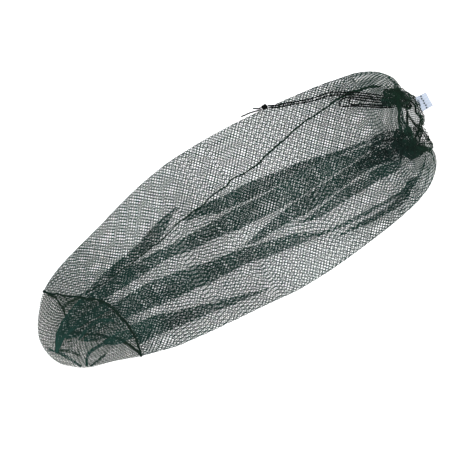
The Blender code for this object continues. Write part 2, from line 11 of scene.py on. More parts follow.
import bmesh
import bpy
import numpy as np
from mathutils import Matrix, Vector


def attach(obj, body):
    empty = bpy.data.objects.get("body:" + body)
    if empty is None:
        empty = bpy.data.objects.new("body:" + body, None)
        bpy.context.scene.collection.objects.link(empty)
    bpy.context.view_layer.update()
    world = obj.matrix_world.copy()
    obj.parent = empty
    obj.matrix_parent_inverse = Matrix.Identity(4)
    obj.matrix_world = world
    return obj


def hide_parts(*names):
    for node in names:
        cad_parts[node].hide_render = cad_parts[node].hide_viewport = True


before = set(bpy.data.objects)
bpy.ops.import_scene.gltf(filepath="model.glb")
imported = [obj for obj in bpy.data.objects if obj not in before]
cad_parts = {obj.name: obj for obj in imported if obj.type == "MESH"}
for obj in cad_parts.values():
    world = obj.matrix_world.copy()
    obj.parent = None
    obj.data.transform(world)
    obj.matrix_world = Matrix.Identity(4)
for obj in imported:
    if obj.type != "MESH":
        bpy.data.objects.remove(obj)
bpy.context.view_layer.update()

bl_info = {
    "name": "Drawstring Keepnet",
    "version": (1, 0, 0),
    "blender": (4, 5, 0),
    "location": "View3D > Sidebar > Keepnet",
    "description": "Builds the yarns, seams, cord and label of a keepnet that lies flat",
    "category": "Object",
}

MM = 0.001

# ---- cloth, as it lies
CLOTH = 1.4            # thickness that one layer of mesh takes up
LAYER_PITCH = 2.6      # from one layer of a fold to the next
EDGE_ROLL = 2.2        # radius at which the cloth turns at the side edges
FOLD_EASE = 8.0        # width over which a layer comes down off a fold
FLOOR = CLOTH / 2      # height of the middle of a layer that lies on the floor
FOLD_RISEN = 0.35      # opening at which a fold has risen; past it the fold only widens
SHUT_SPACING = 1.8     # from one point of a shut fold to the next
SHALLOW_SPACING = 0.45  # the same in a shallow fold

TIP_X = -423.0
BODY_START_X = -369.0  # as far as the tube's cloth reaches towards the tip
BODY_END_X = 322.0     # where the mouth starts to draw in
OUTLINE = (            # x, near edge y, far edge y
    (-423, -13, -13), (-412, -51, 27), (-394, -70, 51), (-376, -83, 71), (-357, -90, 84),
    (-321, -101, 99.5), (-284, -115, 110), (-247, -126, 119), (-211, -136, 128),
    (-174, -141.5, 138), (-101, -150, 154), (-27, -157, 161.5), (46, -164, 161),
    (119, -162.5, 156), (192, -156, 147), (266, -146.5, 136), (302, -139, 128),
    (322, -132.5, 124),
)
CROWN = (              # x, height of the upper layer above the side edges
    (-423, 2), (-380, 9), (-300, 14), (-150, 17), (0, 19), (200, 20), (322, 24),
)

# ---- long folds: x, lower edge y, upper edge y, how far the fold is open
SKIRT_FOLD = (
    (-266, -97, -59, 1), (-211, -103, -67, 1), (-174, -108, -81, 1), (-137, -114, -92, 1),
    (-101, -121, -103, 1), (-64, -127, -114, 0.8), (-27, -132, -126, 0.4), (10, -136, -130, 0),
    (119, -128, -122, 0), (192, -130, -124, 0), (266, -128, -122, 0), (290, -125.5, -119.5, 0),
    (322, -110, -104, 0),
)
SWEEP_FOLD = (
    (-266, -43, -10, 1), (-211, -52, -8, 1), (-174, -59, -13, 1), (-137, -62, -20, 1),
    (-101, -68, -28, 1), (-64, -70, -37, 1), (-27, -72, -42, 1), (10, -81, -53, 1),
    (46, -88, -61, 1), (82, -94, -72, 1), (119, -101, -91, 0.9), (192, -110, -101, 0.8),
    (266, -112, -104, 0.7), (300, -106, -98, 0.3), (322, -72, -66, 0),
)
RIDGE_FOLD = (         # a shallow fold that only the yarns show
    (-266, -1, 3, 0), (-137, -5, -1, 0), (-101, -13, -9, 0), (-64, -19, -15, 0),
    (-27, -24, -20, 0), (10, -32, -28, 0), (46, -40, -34, 0), (82, -52, -44, 0.2),
    (100, -64, -54, 0.5), (119, -68, -57, 1), (156, -70, -53, 1), (192, -68, -48, 1),
    (266, -68, -46, 1), (302, -70, -53, 1), (322, -54, -44, 0.2),
)
CROWN_FOLD = (
    (-266, 7, 29, 1), (-211, 7, 35, 1), (-174, 9, 32, 1), (-137, 9, 31, 1), (-101, 0, 28, 1),
    (-64, -2, 26, 1), (10, -13, 24, 1), (82, -18, 18, 1), (119, -20, 18, 1), (192, -17, 13, 1),
    (266, -15, 0, 0.9), (302, -12, -4, 0.4), (322, 6, 12, 0),
)
NEAR_FOLD = (          # under the near side, also only in the yarns
    (-368, -68, -64, 0), (-266, -97, -93, 0), (-101, -112, -108, 0), (100, -120, -114, 0),
    (147, -121, -115, 0.2), (192, -125, -115.5, 0.9), (229, -128, -118, 1),
    (266, -129, -115.5, 1), (293, -123, -104.5, 1), (312, -112, -93.5, 1), (322, -108, -96, 0.5),
)
UNDER_FOLD = (
    (-9, -45, -37, 0), (10, -50, -36, 0.7), (46, -48, -31, 1), (82, -48, -26, 1),
    (119, -51, -22, 1), (192, -46, -20, 1), (266, -42, -17, 1), (302, -52, -20, 0.8),
    (322, -55, -45, 0),
)
UPPER_FOLD = (
    (-160, 5, 11, 0), (-137, 12, 18, 0), (-110, 27, 33, 0), (-90, 40, 46, 0), (-64, 49, 61, 0.7),
    (-27, 35, 60, 1), (10, 29, 55, 1), (46, 24, 53, 1), (82, 20, 48, 1), (119, 18, 42, 1),
    (156, 16, 35, 1), (192, 14, 26, 1), (229, 7, 16.5, 0.9), (266, 2, 9, 0.6), (302, -2, 5, 0),
    (322, 8, 14, 0),
)
SEAM_FOLD = (
    (-300, 31, 37, 0.5), (-247, 35, 50, 1), (-211, 38, 55, 1), (-174, 42, 62, 1),
    (-137, 48, 73, 1), (-110, 62, 82, 0.9), (-82, 78, 85, 0.3), (-64, 84, 90, 0),
    (192, 80, 86, 0), (322, 62, 68, 0),
)

# ---- seams
BASE_SEAM = (          # part of the width from the near edge, x above, x below
    (0.00, -276, -276), (0.12, -268, -284), (0.23, -266, -306), (0.32, -268, -334),
    (0.43, -273, -358), (0.52, -281, -362), (0.60, -299, -358), (0.68, -319, -354),
    (0.78, -339, -354), (0.92, -360, -362), (1.00, -368, -368),
)
SIDE_SEAM = (          # x, y of the overlocked seam along the tube
    (-300, 33.5), (-262, 32), (-229, 35), (-174, 40.5), (-137, 44), (-119, 48), (-106, 53),
    (-70, 57), (-27, 62.5), (-13, 67.5), (18, 66), (30, 71.5), (82, 71.5), (119, 79), (156, 86.5),
    (192, 92), (238, 95), (275, 97), (302, 94.5), (318, 91),
)

SIDE_SEAM_START = 0.62  # part of the width at which it leaves the base seam
SIDE_SEAM_GAP = 6.0    # between it and the base seam
SIDE_SEAM_PAST = 12    # rows by which it runs on into the mouth
SEAM_LIFT = 1.9        # of its middle over the middle of the net
BASE_SEAM_LIFT = 1.3   # of the base seam's middle over the upper layer
BASE_SEAM_HEIGHT = 1.7  # and of its lower half's middle over the floor
SIDE_SEAM_THICK = (    # x, half thickness
    (-300, 1.2), (-60, 1.15), (60, 1.3), (120, 1.7), (190, 1.5), (240, 1.4), (270, 2.3),
    (320, 2.6), (370, 1.8),
)
BASE_SEAM_THICK = (    # 0 to 1 above and back below to 2, half thickness
    (0, 2), (0.2, 2.3), (0.4, 2.8), (0.5, 3.2), (0.58, 2.2), (0.9, 1.9), (1, 2.1), (1.2, 1.7),
    (1.42, 2.6), (1.6, 1.9), (1.86, 2.9), (2, 1.9),
)
HEM_SEAM_THICK = 0.75
SEAM_FLATTEN = 0.7     # height of a seam over its width
BEAD_SHARE = 0.85      # of a seam's thickness, inside its loops of thread
THREAD_RADIUS = 0.4
THREAD_HEIGHT = 0.45   # of the thread's middle over the floor, at the least

# ---- yarns
SEAM_INSET = 0.6       # of the base's cloth, under the seam
LOOSE_PITCH = 3.0      # yarns closer together than this are pulled thin
TUBE_CUTS = (0.0, 0.38, 0.66, 1.0)     # where its rows are parted into three pieces
TWIST_ROWS = 25.0      # rows by which the mesh is askew where its two edges are sewn together
YARN_COLUMNS = 4       # columns of the tube's surface for each yarn
DRIFT_ROWS = 61.0      # rows over which the yarns drift to one side and back
GATHERS_REACH = 100.0  # how far from the mouth into the tube they lie
BAND_STEP = 0.8        # rows of a gather, closer together than those of the tube
BAND_SWING = 0.32      # of a band's zigzag yarns, in columns
GATHER_THICK = 0.22    # half thickness of a gather over its half width
GATHER_LEAST = 0.8     # added to that, so that a narrow gather has body too
GATHER_LIFT = 0.6      # of a gather's lower side over the net below it
GATHER_OPENED = 4.8    # cloth in a gather over its half width
TUCK_OPENED = 4.2      # cloth in a tuck over its half width
BASE_YARN = 1.08       # thickness of the base's yarn over the tube's
BASE_WANDER = 1.3      # how far the base's rows wander to either side
BASE_WANDER_WIDTH = 17.0               # over this width for each radian of their sine

# ---- gathered mouth
RING_CENTRE = (369.0, -3.0, 30.0)
RING_TO_TOP = (-20.0, -10.0, 21.5)     # from its centre: the mouth faces forwards and up
RING_TO_SIDE = (4.0, 38.0, 0.0)
HEM_OUTER = 5.2        # radius where the hem starts round the cord
HEM_INNER = 3.6        # radius where it is sewn down inside
HEM_START_TOP = 30.0   # degrees round the cord, at the top of the mouth
HEM_START_SIDE = 60.0
HEM_START_BOTTOM = -42.0
HEM_END = math.radians(300)
HEM_TINT = (315.0, 370.0)              # x over which the yarn turns to the hem's green
FUNNEL_LENGTH = 88.0   # length of cloth from the tube to the hem
FUNNEL_AHEAD = 22.0    # how far it runs on ahead as it leaves the tube
FUNNEL_AHEAD_SIDE = 8.0                # and how much further at the sides
FUNNEL_INWARD = 10.0
FUNNEL_UP = 12.0
FUNNEL_ARRIVE = 14.0   # how far it runs straight to the hem
HEM_LENGTH = 20.0      # length of cloth in the hem
PLEATS = 30            # small pleats round the mouth
PLEAT_DEPTH = 1.6      # of those between the bunches
BUNCH_CLOTH = math.radians(58)         # half the cloth that each side's bunch takes up
BUNCH_RING = math.radians(25)          # half the stretch of cord that it is pushed onto
BUNCH_DEPTH = 9.0      # depth of its pleats
BUNCH_REACH = 0.5      # radians from its middle over which it drags the cord aside
BUNCH_EVENED = 25      # columns over which its ends are evened out
NEAR_BUNCH = (-29.0, -8.0, 2.0)        # the bunch on the near side is dragged back
FAR_BUNCH = (-8.0, 7.0, 0.0)           # and the one on the far side pushed out
NEAR_BULGE = (68.0, -10.0, -6.0)       # the cloth beside each bunch hangs out past it
FAR_BULGE = (40.0, 34.0, -8.0)
LOW_BULGE = (18.0, -6.0, -4.0)         # and so does the cloth below
HANGING_CLOTH = math.radians(28)       # half the cloth of the side that hangs out, unpleated
CORD_INSET = 1.4       # the drawn cord pulls inwards against its casing

# ---- gathers of the mouth: from one yarn to the next, then x, y, half width along each
GATHERS = (
    # cloth pushed together on the cord at the far side, in two heaps that cross
    (2.2, (337, 50, 4), (346, 49, 10), (357, 47, 14), (368, 42, 15), (379, 37, 12), (390, 34, 5)),
    (2.2, (352, 67, 4), (358, 57, 8), (365, 46, 12), (371, 35, 12), (378, 24, 8), (382, 14, 3)),
    # what trails off it behind and in front, along the hem
    (1.6, (365, 38, 4), (360, 30, 3), (354, 18, 2.2), (346, 8, 2), (341, -6, 2.4), (337, -18, 3)),
    (1.6, (391, 38, 2), (397, 26, 3), (394, 6, 3.2), (389, -13, 3.4), (381, -24, 2.6)),
    # edge of the fold that hangs across the mouth, and the net between it and the near heap
    (1.4, (386, 32, 1.8), (376, 21, 1.6), (371, 6, 1.6), (372, -8, 1.8), (373, -23, 2),
     (378, -43, 2.2), (381, -64, 1.6)),
    (3.4, (369, -18, 5), (372, -30, 8), (373, -42, 9), (374, -54, 8)),
    (1.4, (371, 10, 1.4), (365, 0, 1.6), (357, -16, 2.2), (351, -28, 3)),
    # the heap on the near side: along the cord, across it, behind it and in front
    (2.2, (360, -61, 4), (350, -60, 9), (340, -53, 13), (331, -44, 14), (323, -33, 9),
     (314, -24, 3)),
    (2.4, (353, -12, 4), (346, -26, 9), (341, -40, 12), (337, -53, 12), (335, -68, 5)),
    (2.4, (338, -6, 4), (333, -17, 9), (330, -31, 11), (331, -44, 8)),
    (2.0, (350, -55, 5), (361, -58, 8), (371, -62, 8), (380, -66, 3)),
    # folds that run back from it: low, middle and high
    (3.4, (329, -48, 11), (313, -43, 11), (292, -38, 9), (267, -32, 7), (242, -25, 5)),
    (3.6, (331, -38, 10), (317, -27, 11), (297, -21, 9), (277, -16, 7)),
    (3.6, (332, -29, 9), (324, -13, 9), (305, -4, 7), (284, -2, 5)),
)

# ---- tucks of the base: whether on the upper layer, from one yarn to the next, x, y, half width
TUCKS = (
    # a wide band from the tip to the seam, one inside it and one below
    (True, 2.8, (-405, -32, 1.6), (-395, -21, 6), (-380, -8, 10), (-361, 0, 14), (-339, 5, 18),
     (-316, 8, 21), (-295, 8, 22), (-276, 4, 20)),
    (True, 4.2, (-376, -17, 2), (-349, -16, 11), (-325, -15, 16), (-300, -15, 17),
     (-279, -16, 15), (-262, -17, 9)),
    (True, 4.2, (-350, -38, 1.5), (-323, -42, 9), (-299, -44, 13), (-275, -45, 13), (-258, -46, 8)),
    # narrow creases: along the rim, the heel and the arch
    (True, 1.6, (-414, -18, 1.4), (-401, -34, 2), (-392, -49, 2.4), (-385, -64, 2),
     (-380, -76, 1.4)),
    (True, 1.6, (-370, -82, 1.4), (-364, -71, 2.2), (-353, -62.5, 2.6), (-344, -61, 2.4),
     (-325, -62, 3.2), (-300, -66, 2)),
    (True, 1.6, (-357, -33, 1.6), (-344, -27, 2.4), (-328, -21.5, 2.8), (-311, -21, 3.4),
     (-295, -27, 2.4), (-284, -36, 1.6)),
    # two that show through from the lower layer, and cloth caught up behind the seam
    (False, 1.6, (-401, -28, 1.6), (-380, -46, 2.4), (-372, -59, 1.6)),
    (False, 1.6, (-366, -85, 1.4), (-345, -83, 2.2), (-327, -79, 1.6)),
    (True, 2.4, (-320, -61, 3), (-304, -66, 8), (-286, -69, 10), (-270, -72, 8), (-260, -77, 4)),
)

# ---- cord: the routes of its free strands, x, y, z
STRAND_UPPER = (       # from the hem to the knot
    (357, 41, 44.6), (355.5, 48, 42), (352, 54.5, 38.9), (345, 61.4, 35.4), (337.3, 66.9, 32.1),
    (330, 73.3, 29.2), (320.8, 80.7, 25.8), (311.7, 88, 24.9), (298.8, 96.2, 25),
    (287.8, 103.6, 20.8), (275, 111.8, 18.3), (262.2, 117, 17.3), (243.8, 120.6, 16.5),
    (223.7, 126.5, 15.6), (210.8, 132, 14.6), (192.5, 139.3, 12.9), (174.2, 146, 10.4),
    (165, 151, 9.4), (159.9, 153.8, 9.8),
)
STRAND_LOWER = (       # its partner, to the same knot
    (352.5, 38.5, 42.9), (351.5, 44.5, 41.4), (347.5, 51, 38.7), (339.2, 60, 34.4),
    (330, 67, 30.6), (320.8, 75.2, 27), (311.7, 82.5, 25.2), (298.8, 91, 25.2),
    (287.8, 97.9, 24.6), (275, 105.8, 20.2), (262.2, 111.6, 18.5), (243.8, 115.8, 17.5),
    (223.7, 121.9, 16.5), (210.8, 127.6, 15.5), (192.5, 135, 14.3), (174.2, 141.6, 12.8),
    (165, 146.5, 11.4), (159.9, 149.9, 10.9),
)
SLACK_OUTER = (        # a loop of slack, from the hem back to the hem
    (351.5, 31, 44.2), (346.5, 35, 41), (335.5, 41, 35.6), (324.5, 48.4, 31.5),
    (313.5, 56.5, 29.2), (302.5, 64.8, 27.9), (289.7, 73, 26.1), (277, 80, 24.6),
    (271.5, 85, 23.7), (273.5, 90.5, 22.9), (279.6, 93.1, 22.7), (287.8, 91.7, 22.9),
    (298.8, 86, 24), (311.7, 77.2, 25.9), (320.8, 69.8, 27.7), (330, 61.8, 31.7),
    (339.2, 54.5, 35.5), (344.5, 48.8, 37.9), (348, 42.5, 40.5),
)
SLACK_INNER = (        # the second turn of that loop
    (349, 37, 42), (343, 40.8, 38.3), (335.5, 45.3, 35.2), (324.5, 53, 31.3), (313.5, 61.3, 28.9),
    (304.5, 67.6, 27.4), (296.8, 71.8, 26.5), (290.4, 75.9, 25.6), (288, 79, 24.9),
    (288.7, 83, 24.3), (292.1, 85.2, 24), (296.2, 84.2, 24.3), (301.8, 79.6, 25.3),
    (309.8, 73, 26.6), (319, 65.2, 28.5), (328.2, 57.4, 32), (337, 50.6, 35.2),
    (342.5, 46.4, 37.5),
)
TAIL_SHORT = (         # from the knot over the side edge to the floor
    (147.2, 157.2, 9), (143, 158, 6.6), (138.5, 161.2, 2.6), (134, 164.5, 1.4),
)
TAIL_LONG = (
    (146.2, 153.7, 10.6), (140, 155.6, 7.6), (132, 158.2, 3.2), (124, 160.2, 1.5),
    (116, 161.2, 1.4), (108, 162.4, 1.4),
)
CORDS = (              # name, route, what its far end goes to
    ("drawstring_tail_short", TAIL_SHORT, "bare"),
    ("drawstring_tail_long", TAIL_LONG, "bare"),
    ("drawstring_strand_upper", STRAND_UPPER, "knot"),
    ("drawstring_strand_lower", STRAND_LOWER, "knot"),
    ("drawstring_slack_outer", SLACK_OUTER, "object"),
    ("drawstring_slack_inner", SLACK_INNER, "object"),
)
CASING_RUN = (60.0, 400.0)             # degrees round the hem that the hidden cord takes up
CORD_STEP = 1.2        # between the rings of a cord
KNOT_CENTRE = (153.0, 155.0, 10.5)
KNOT_SIZE = (1.35, 1.25, 2.0)          # of its trefoil, along x, y and z
KNOT_CORDS = ((0.0, -1.0), (1.1, 1.2))  # turn in radians and shift along x of each cord in it
KNOT_TIGHT = 0.96      # thickness of the cord in the knot over that outside it

# ---- blank label sewn to the hem
LABEL_CORNER = (395.9, -2.0)
LABEL_ALONG = (0.9988, -0.05)
LABEL_LENGTH = 23.0
LABEL_WIDTH = 28.0
LABEL_HEIGHT = 1.2     # of its free edge over the floor
LABEL_LIFT = 8.0       # and of its sewn edge over its free edge
LABEL_THICKNESS = 0.8
LABEL_THREAD = 1.5     # radius of its stitches, which are of doubled thick thread
LABEL_STITCH_PITCH = 4.2
LABEL_STITCH = 0.45    # where its row of stitches lies, in parts of its length
LABEL_STITCH_STAGGER = 0.04            # by which every second stitch lies further out
LABEL_STITCH_LIFT = 0.25               # of the stitches' middle over its face

# ---- studio: metres, and watts for the lights
CAMERA_LENS = 150.0    # mm, as the width of its sensor is
SENSOR_WIDTH = 36.0
VIEW_WIDTH = 0.825     # of what the camera sees on the floor
VIEW_CENTRE = (-0.0206, 0.0081)
VIEW_TURN = math.radians(-31.3)
LIGHTS = (             # name, place, diameter, power
    ("key", (-0.9, 0.8, 2.2), 1.6, 42.0),
    ("fill", (1.2, -0.9, 1.9), 1.8, 26.0),
    ("top", (0.0, 0.0, 2.8), 2.4, 30.0),
)
BACKDROP_LIGHT = 0.55
FLOOR_REACH = 6000.0   # mm
FLOOR_DROP = 0.2       # mm that the floor lies below the net, so that they don't touch


# ---- shared shape functions

def smooth_step(value):
    """0 below 0, 1 above 1, and 3 v^2 - 2 v^3 between."""
    value = np.clip(value, 0.0, 1.0)
    return value * value * (3.0 - 2.0 * value)


def cubic_arc(part, start, leave, end, arrive):
    """Cubic Hermite arc between two values; leave and arrive are its slopes times the span."""
    return ((1 + 2 * part) * (1 - part) ** 2 * start + part * (1 - part) ** 2 * leave
            + part ** 2 * (3 - 2 * part) * end - part ** 2 * (1 - part) * arrive)


def read_table(table, key, column, warp=None):
    """Column of a table at key: cubic Hermite arcs through its rows."""
    rows = np.array(table, dtype=float)
    place, value = rows[:, 0], rows[:, column]
    key = np.clip(np.asarray(key, dtype=float), place[0], place[-1])
    if warp is not None:
        place, key = warp(place), warp(key)
    slope = np.diff(value) / np.diff(place)
    inner = np.where(slope[1:] * slope[:-1] > 0, (slope[1:] + slope[:-1]) / 2, 0.0)
    tangent = np.concatenate((slope[:1], inner, slope[-1:]))
    low = np.clip(np.searchsorted(place, key, side="right") - 1, 0, len(place) - 2)
    width = place[low + 1] - place[low]
    return cubic_arc((key - place[low]) / width, value[low], width * tangent[low],
                     value[low + 1], width * tangent[low + 1])


def read_line(wanted, key, points):
    """Points of a line at the wanted keys, by straight lines between its own points."""
    return np.stack([np.interp(wanted, key, axis) for axis in points.T], axis=-1)


def half_turn(angle):
    """The same angle between minus and plus half a turn."""
    return (angle + math.pi) % (2 * math.pi) - math.pi


def unit(vectors):
    return vectors / np.maximum(np.linalg.norm(vectors, axis=-1, keepdims=True), 1e-6)


def direction_at(angle, first, second):
    """cos(angle) of one direction plus sin(angle) of another."""
    return np.cos(angle)[..., None] * first + np.sin(angle)[..., None] * second


def from_tip(x):
    """Root of the distance to the round tip, in which the outline is even."""
    return np.sqrt(np.maximum(x - TIP_X, 0.0))


def near_edge(x):
    return read_table(OUTLINE, x, 1, from_tip)


def far_edge(x):
    return read_table(OUTLINE, x, 2, from_tip)


def edge_at(x, share):
    """y at a share of the width, from the near edge."""
    near = near_edge(x)
    return near + share * (far_edge(x) - near)


def share_at(x, y):
    """Share of the width at y, from the near edge."""
    near = near_edge(x)
    return (y - near) / np.maximum(far_edge(x) - near, 1e-6)


def roll_at(x):
    """Radius of the side edges, which shrinks close to the tip as the root of the distance."""
    return EDGE_ROLL * np.sqrt(np.clip((x - TIP_X) / 4.0, 0.0, 1.0))


def upper_height(x, y):
    """Middle of the upper layer, its folds left out.

    Height of the side edge, plus crown height and two long sine ripples, times a bulge
    (1 - |2a - 1|^2.4)^0.7 over the width share a.
    """
    across = np.clip(share_at(x, y), 0.0, 1.0)
    bulge = (1.0 - np.abs(2.0 * across - 1.0) ** 2.4) ** 0.7
    ripple = (1.1 * np.sin(2 * math.pi * (y / 74.0 + x / 520.0))
              + 0.8 * np.sin(2 * math.pi * (y / 41.0 - x / 300.0) + 1.0))
    return (FLOOR + 2 * roll_at(x)
            + (read_table(CROWN, x, 1) + ripple * smooth_step((x - TIP_X) / 60.0)) * bulge)


def fold_at(fold, x):
    """Lower edge, upper edge and opening of a fold."""
    return (read_table(fold, x, column) for column in (1, 2, 3))


def fold_rows(fold, x, heading, flat_step):
    """Nine points of a back-and-forth fold at each x: y, and layers above the cloth below.

    heading is +1 where the section is walked towards +Y, and -1 towards -Y.
    """
    low, high, opening = fold_at(fold, x)
    middle = (low + high) / 2
    risen = smooth_step(opening / FOLD_RISEN)
    spread = np.clip((opening - FOLD_RISEN) / (1 - FOLD_RISEN), 0.0, 1.0)
    half = LAYER_PITCH + np.maximum((high - low) / 2 - LAYER_PITCH, 0.0) * spread
    turn = LAYER_PITCH / 2
    places = (-half - 3.0, half - turn, half, half - turn, -half + turn, -half, -half + turn,
              half + 1.5, half + FOLD_EASE)
    layers = (0.0, 0.0, 0.5, 0.9, 1.1, 1.5, 2.0, 2.0, 0.0)
    rows = []
    for step, (place, layer) in enumerate(zip(places, layers)):
        flat = (step - 4) * flat_step
        rows.append((middle + heading * (flat + (place - flat) * risen), layer * risen))
    return rows


def smooth_path(points, per_span, closed=False, level=False):
    """Cubic arcs through each row of points, with chord-length tangents.

    points has shape (rows, count, axes); the result has per_span points for each span.
    With level, an axis that turns back or stays even at a point has no slope there, so that
    it can't overshoot.
    """
    if closed:
        points = np.concatenate((points, points[:, :1]), axis=1)
    chord = np.linalg.norm(np.diff(points, axis=1), axis=2, keepdims=True)
    chord = np.maximum(chord, 1e-6)
    slope = np.diff(points, axis=1) / chord
    before, after = chord[:, :-1], chord[:, 1:]
    inner = (slope[:, :-1] * after + slope[:, 1:] * before) / (before + after)
    if level:
        inner = np.where(slope[:, :-1] * slope[:, 1:] > 0, inner, 0.0)
    if closed:
        first, last = chord[:, :1], chord[:, -1:]
        ends = (slope[:, -1:] * first + slope[:, :1] * last) / (first + last)
        tangent = np.concatenate((ends, inner, ends), axis=1)
    else:
        tangent = np.concatenate((slope[:, :1], inner, slope[:, -1:]), axis=1)
    part = (np.arange(per_span) / per_span)[None, None, :, None]
    chord = chord[:, :, None]
    fine = cubic_arc(part, points[:, :-1, None], tangent[:, :-1, None] * chord,
                     points[:, 1:, None], tangent[:, 1:, None] * chord)
    fine = fine.reshape(points.shape[0], -1, points.shape[2])
    return fine if closed else np.concatenate((fine, points[:, -1:]), axis=1)


def walk(paths):
    """Length walked to each point of each row of points."""
    steps = np.linalg.norm(np.diff(paths, axis=1), axis=2)
    return np.concatenate((np.zeros((len(paths), 1)), np.cumsum(steps, axis=1)), axis=1)


def read_rows(key, values, wanted):
    """Each row's values at the wanted keys, by straight lines between its own points."""
    rise = np.arange(len(key))[:, None] * (key.max() + 1.0)
    points = values.reshape(-1, values.shape[2])
    return read_line((wanted + rise).ravel(), (key + rise).ravel(), points).reshape(
        *wanted.shape, -1)


def half_section(x, items, above):
    """Points across one layer of cloth at each x.

    items are shares of the width, or a fold with the spacing of its points where it is shut.
    They are walked from the near edge above, and from the far edge below.
    """
    even = 0.0 * x
    ends = [(near_edge(x) + roll_at(x), even), (far_edge(x) - roll_at(x), even)]
    rows = []
    for item in items:
        if isinstance(item, float):
            rows.append((edge_at(x, item), even))
        else:
            rows += fold_rows(item[0], x, 1 if above else -1, item[1])
    first, last = ends if above else reversed(ends)
    rows = [first, *rows, last]
    flat = np.stack([np.stack(row, axis=-1) for row in rows], axis=1)
    flat[..., 1] *= LAYER_PITCH
    fine = smooth_path(flat, 7, level=True)
    along = np.broadcast_to(x[:, None], fine.shape[:2])
    base = upper_height(along, fine[..., 0]) if above else FLOOR
    return np.stack((along, fine[..., 0], base + fine[..., 1]), axis=-1)


def tube_sections(x):
    """Closed section of the net at each x, from the near edge over the top and back below.

    Returns the points (rows, count, 3) and the index at which the far edge is passed.
    """
    top = half_section(x, (
        0.02, 0.04, (SKIRT_FOLD, SHUT_SPACING), (SWEEP_FOLD, SHUT_SPACING),
        (RIDGE_FOLD, SHALLOW_SPACING), (CROWN_FOLD, SHUT_SPACING), 0.74, 0.86, 0.96), True)
    below = half_section(x, (
        0.94, 0.85, (SEAM_FOLD, SHUT_SPACING), (UPPER_FOLD, SHUT_SPACING),
        (UNDER_FOLD, SHUT_SPACING), 0.22, (NEAR_FOLD, SHALLOW_SPACING), 0.03), False)
    home, side = (np.stack((x, edge(x), FLOOR + roll_at(x)), axis=-1)[:, None]
                  for edge in (near_edge, far_edge))
    return np.concatenate((home, top, side, below, home), axis=1), top.shape[1] + 1


def seam_x(share, above):
    return read_table(BASE_SEAM, share, 1 if above else 2)


def seam_line(share, above):
    """x and y of the base seam at shares of the width, on the upper or the lower layer."""
    x = seam_x(share, above)
    return x, edge_at(x, share)


def ring_frame(turn):
    """Centre line of the hem, outward and forward directions at an angle from its top.

    An ellipse, dragged aside at its two bunches by exp(-(angle from the bunch / reach)^2).
    """
    to_top, to_side = np.array(RING_TO_TOP), np.array(RING_TO_SIDE)
    centre = np.array(RING_CENTRE) + direction_at(turn, to_top, to_side)
    heading = unit(direction_at(turn, to_side, -to_top))
    forward = np.broadcast_to(unit(np.cross(to_side, to_top)), centre.shape)
    outward = np.cross(forward, heading)
    for middle, drag in ((-math.pi / 2, NEAR_BUNCH), (math.pi / 2, FAR_BUNCH)):
        away = half_turn(turn - middle)
        centre = centre + np.exp(-(away / BUNCH_REACH) ** 2)[..., None] * np.array(drag)
    wobble = (1.3 * np.sin(7 * turn + 1.0) + 0.9 * np.sin(11 * turn))[..., None]
    return centre + wobble * (0.5 * outward + forward), outward, forward


def bunched(even):
    """Angle on the cord for each angle of the even cloth, and how much it is bunched there.

    The cloth of each side is pushed together onto a short stretch of the cord, by straight
    lines between the ends of the bunches, evened out over a few columns.
    """
    bend = math.pi / 2
    cloth, ring = ((-2 * bend, -bend - reach, -bend, -bend + reach, 0.0,
                    bend - reach, bend, bend + reach, 2 * bend)
                   for reach in (BUNCH_CLOTH, BUNCH_RING))
    wrapped = half_turn(even)
    shift = np.interp(wrapped, cloth, ring) - wrapped
    padded = np.pad(shift, BUNCH_EVENED // 2, mode="wrap")
    turn = even + np.convolve(padded, np.ones(BUNCH_EVENED) / BUNCH_EVENED, mode="valid")
    return turn, np.exp(-(np.abs(np.abs(wrapped) - bend) / BUNCH_CLOTH) ** 4)


def pleats(even, turn, bunch, hanging):
    """How far the pleats push the cloth aside: cos(n a), deeper and crossed in the bunches."""
    phase = PLEATS * even + 1.2 * np.sin(5 * even) + 0.8 * np.sin(9 * even + 1.0)
    uneven = 1.0 + 0.35 * np.sin(13 * even + 1.0) * np.cos(4 * even)
    depth = (PLEAT_DEPTH * (1 - bunch) + BUNCH_DEPTH * bunch) * uneven
    side = np.sin(turn)
    aside = np.stack((0.0 * side, np.abs(side) * side, np.cos(turn)), axis=-1)
    crossed = depth * 0.55 * bunch * np.sin(phase * 0.5 + 2.0 * np.sin(3 * even))
    return ((depth * (np.cos(phase) + 0.25))[:, None] * aside * (1 - 0.8 * hanging)
            + crossed[:, None] * np.array((1.0, 0.0, 0.35)))


# ---- the net's surface on a grid of rows and columns

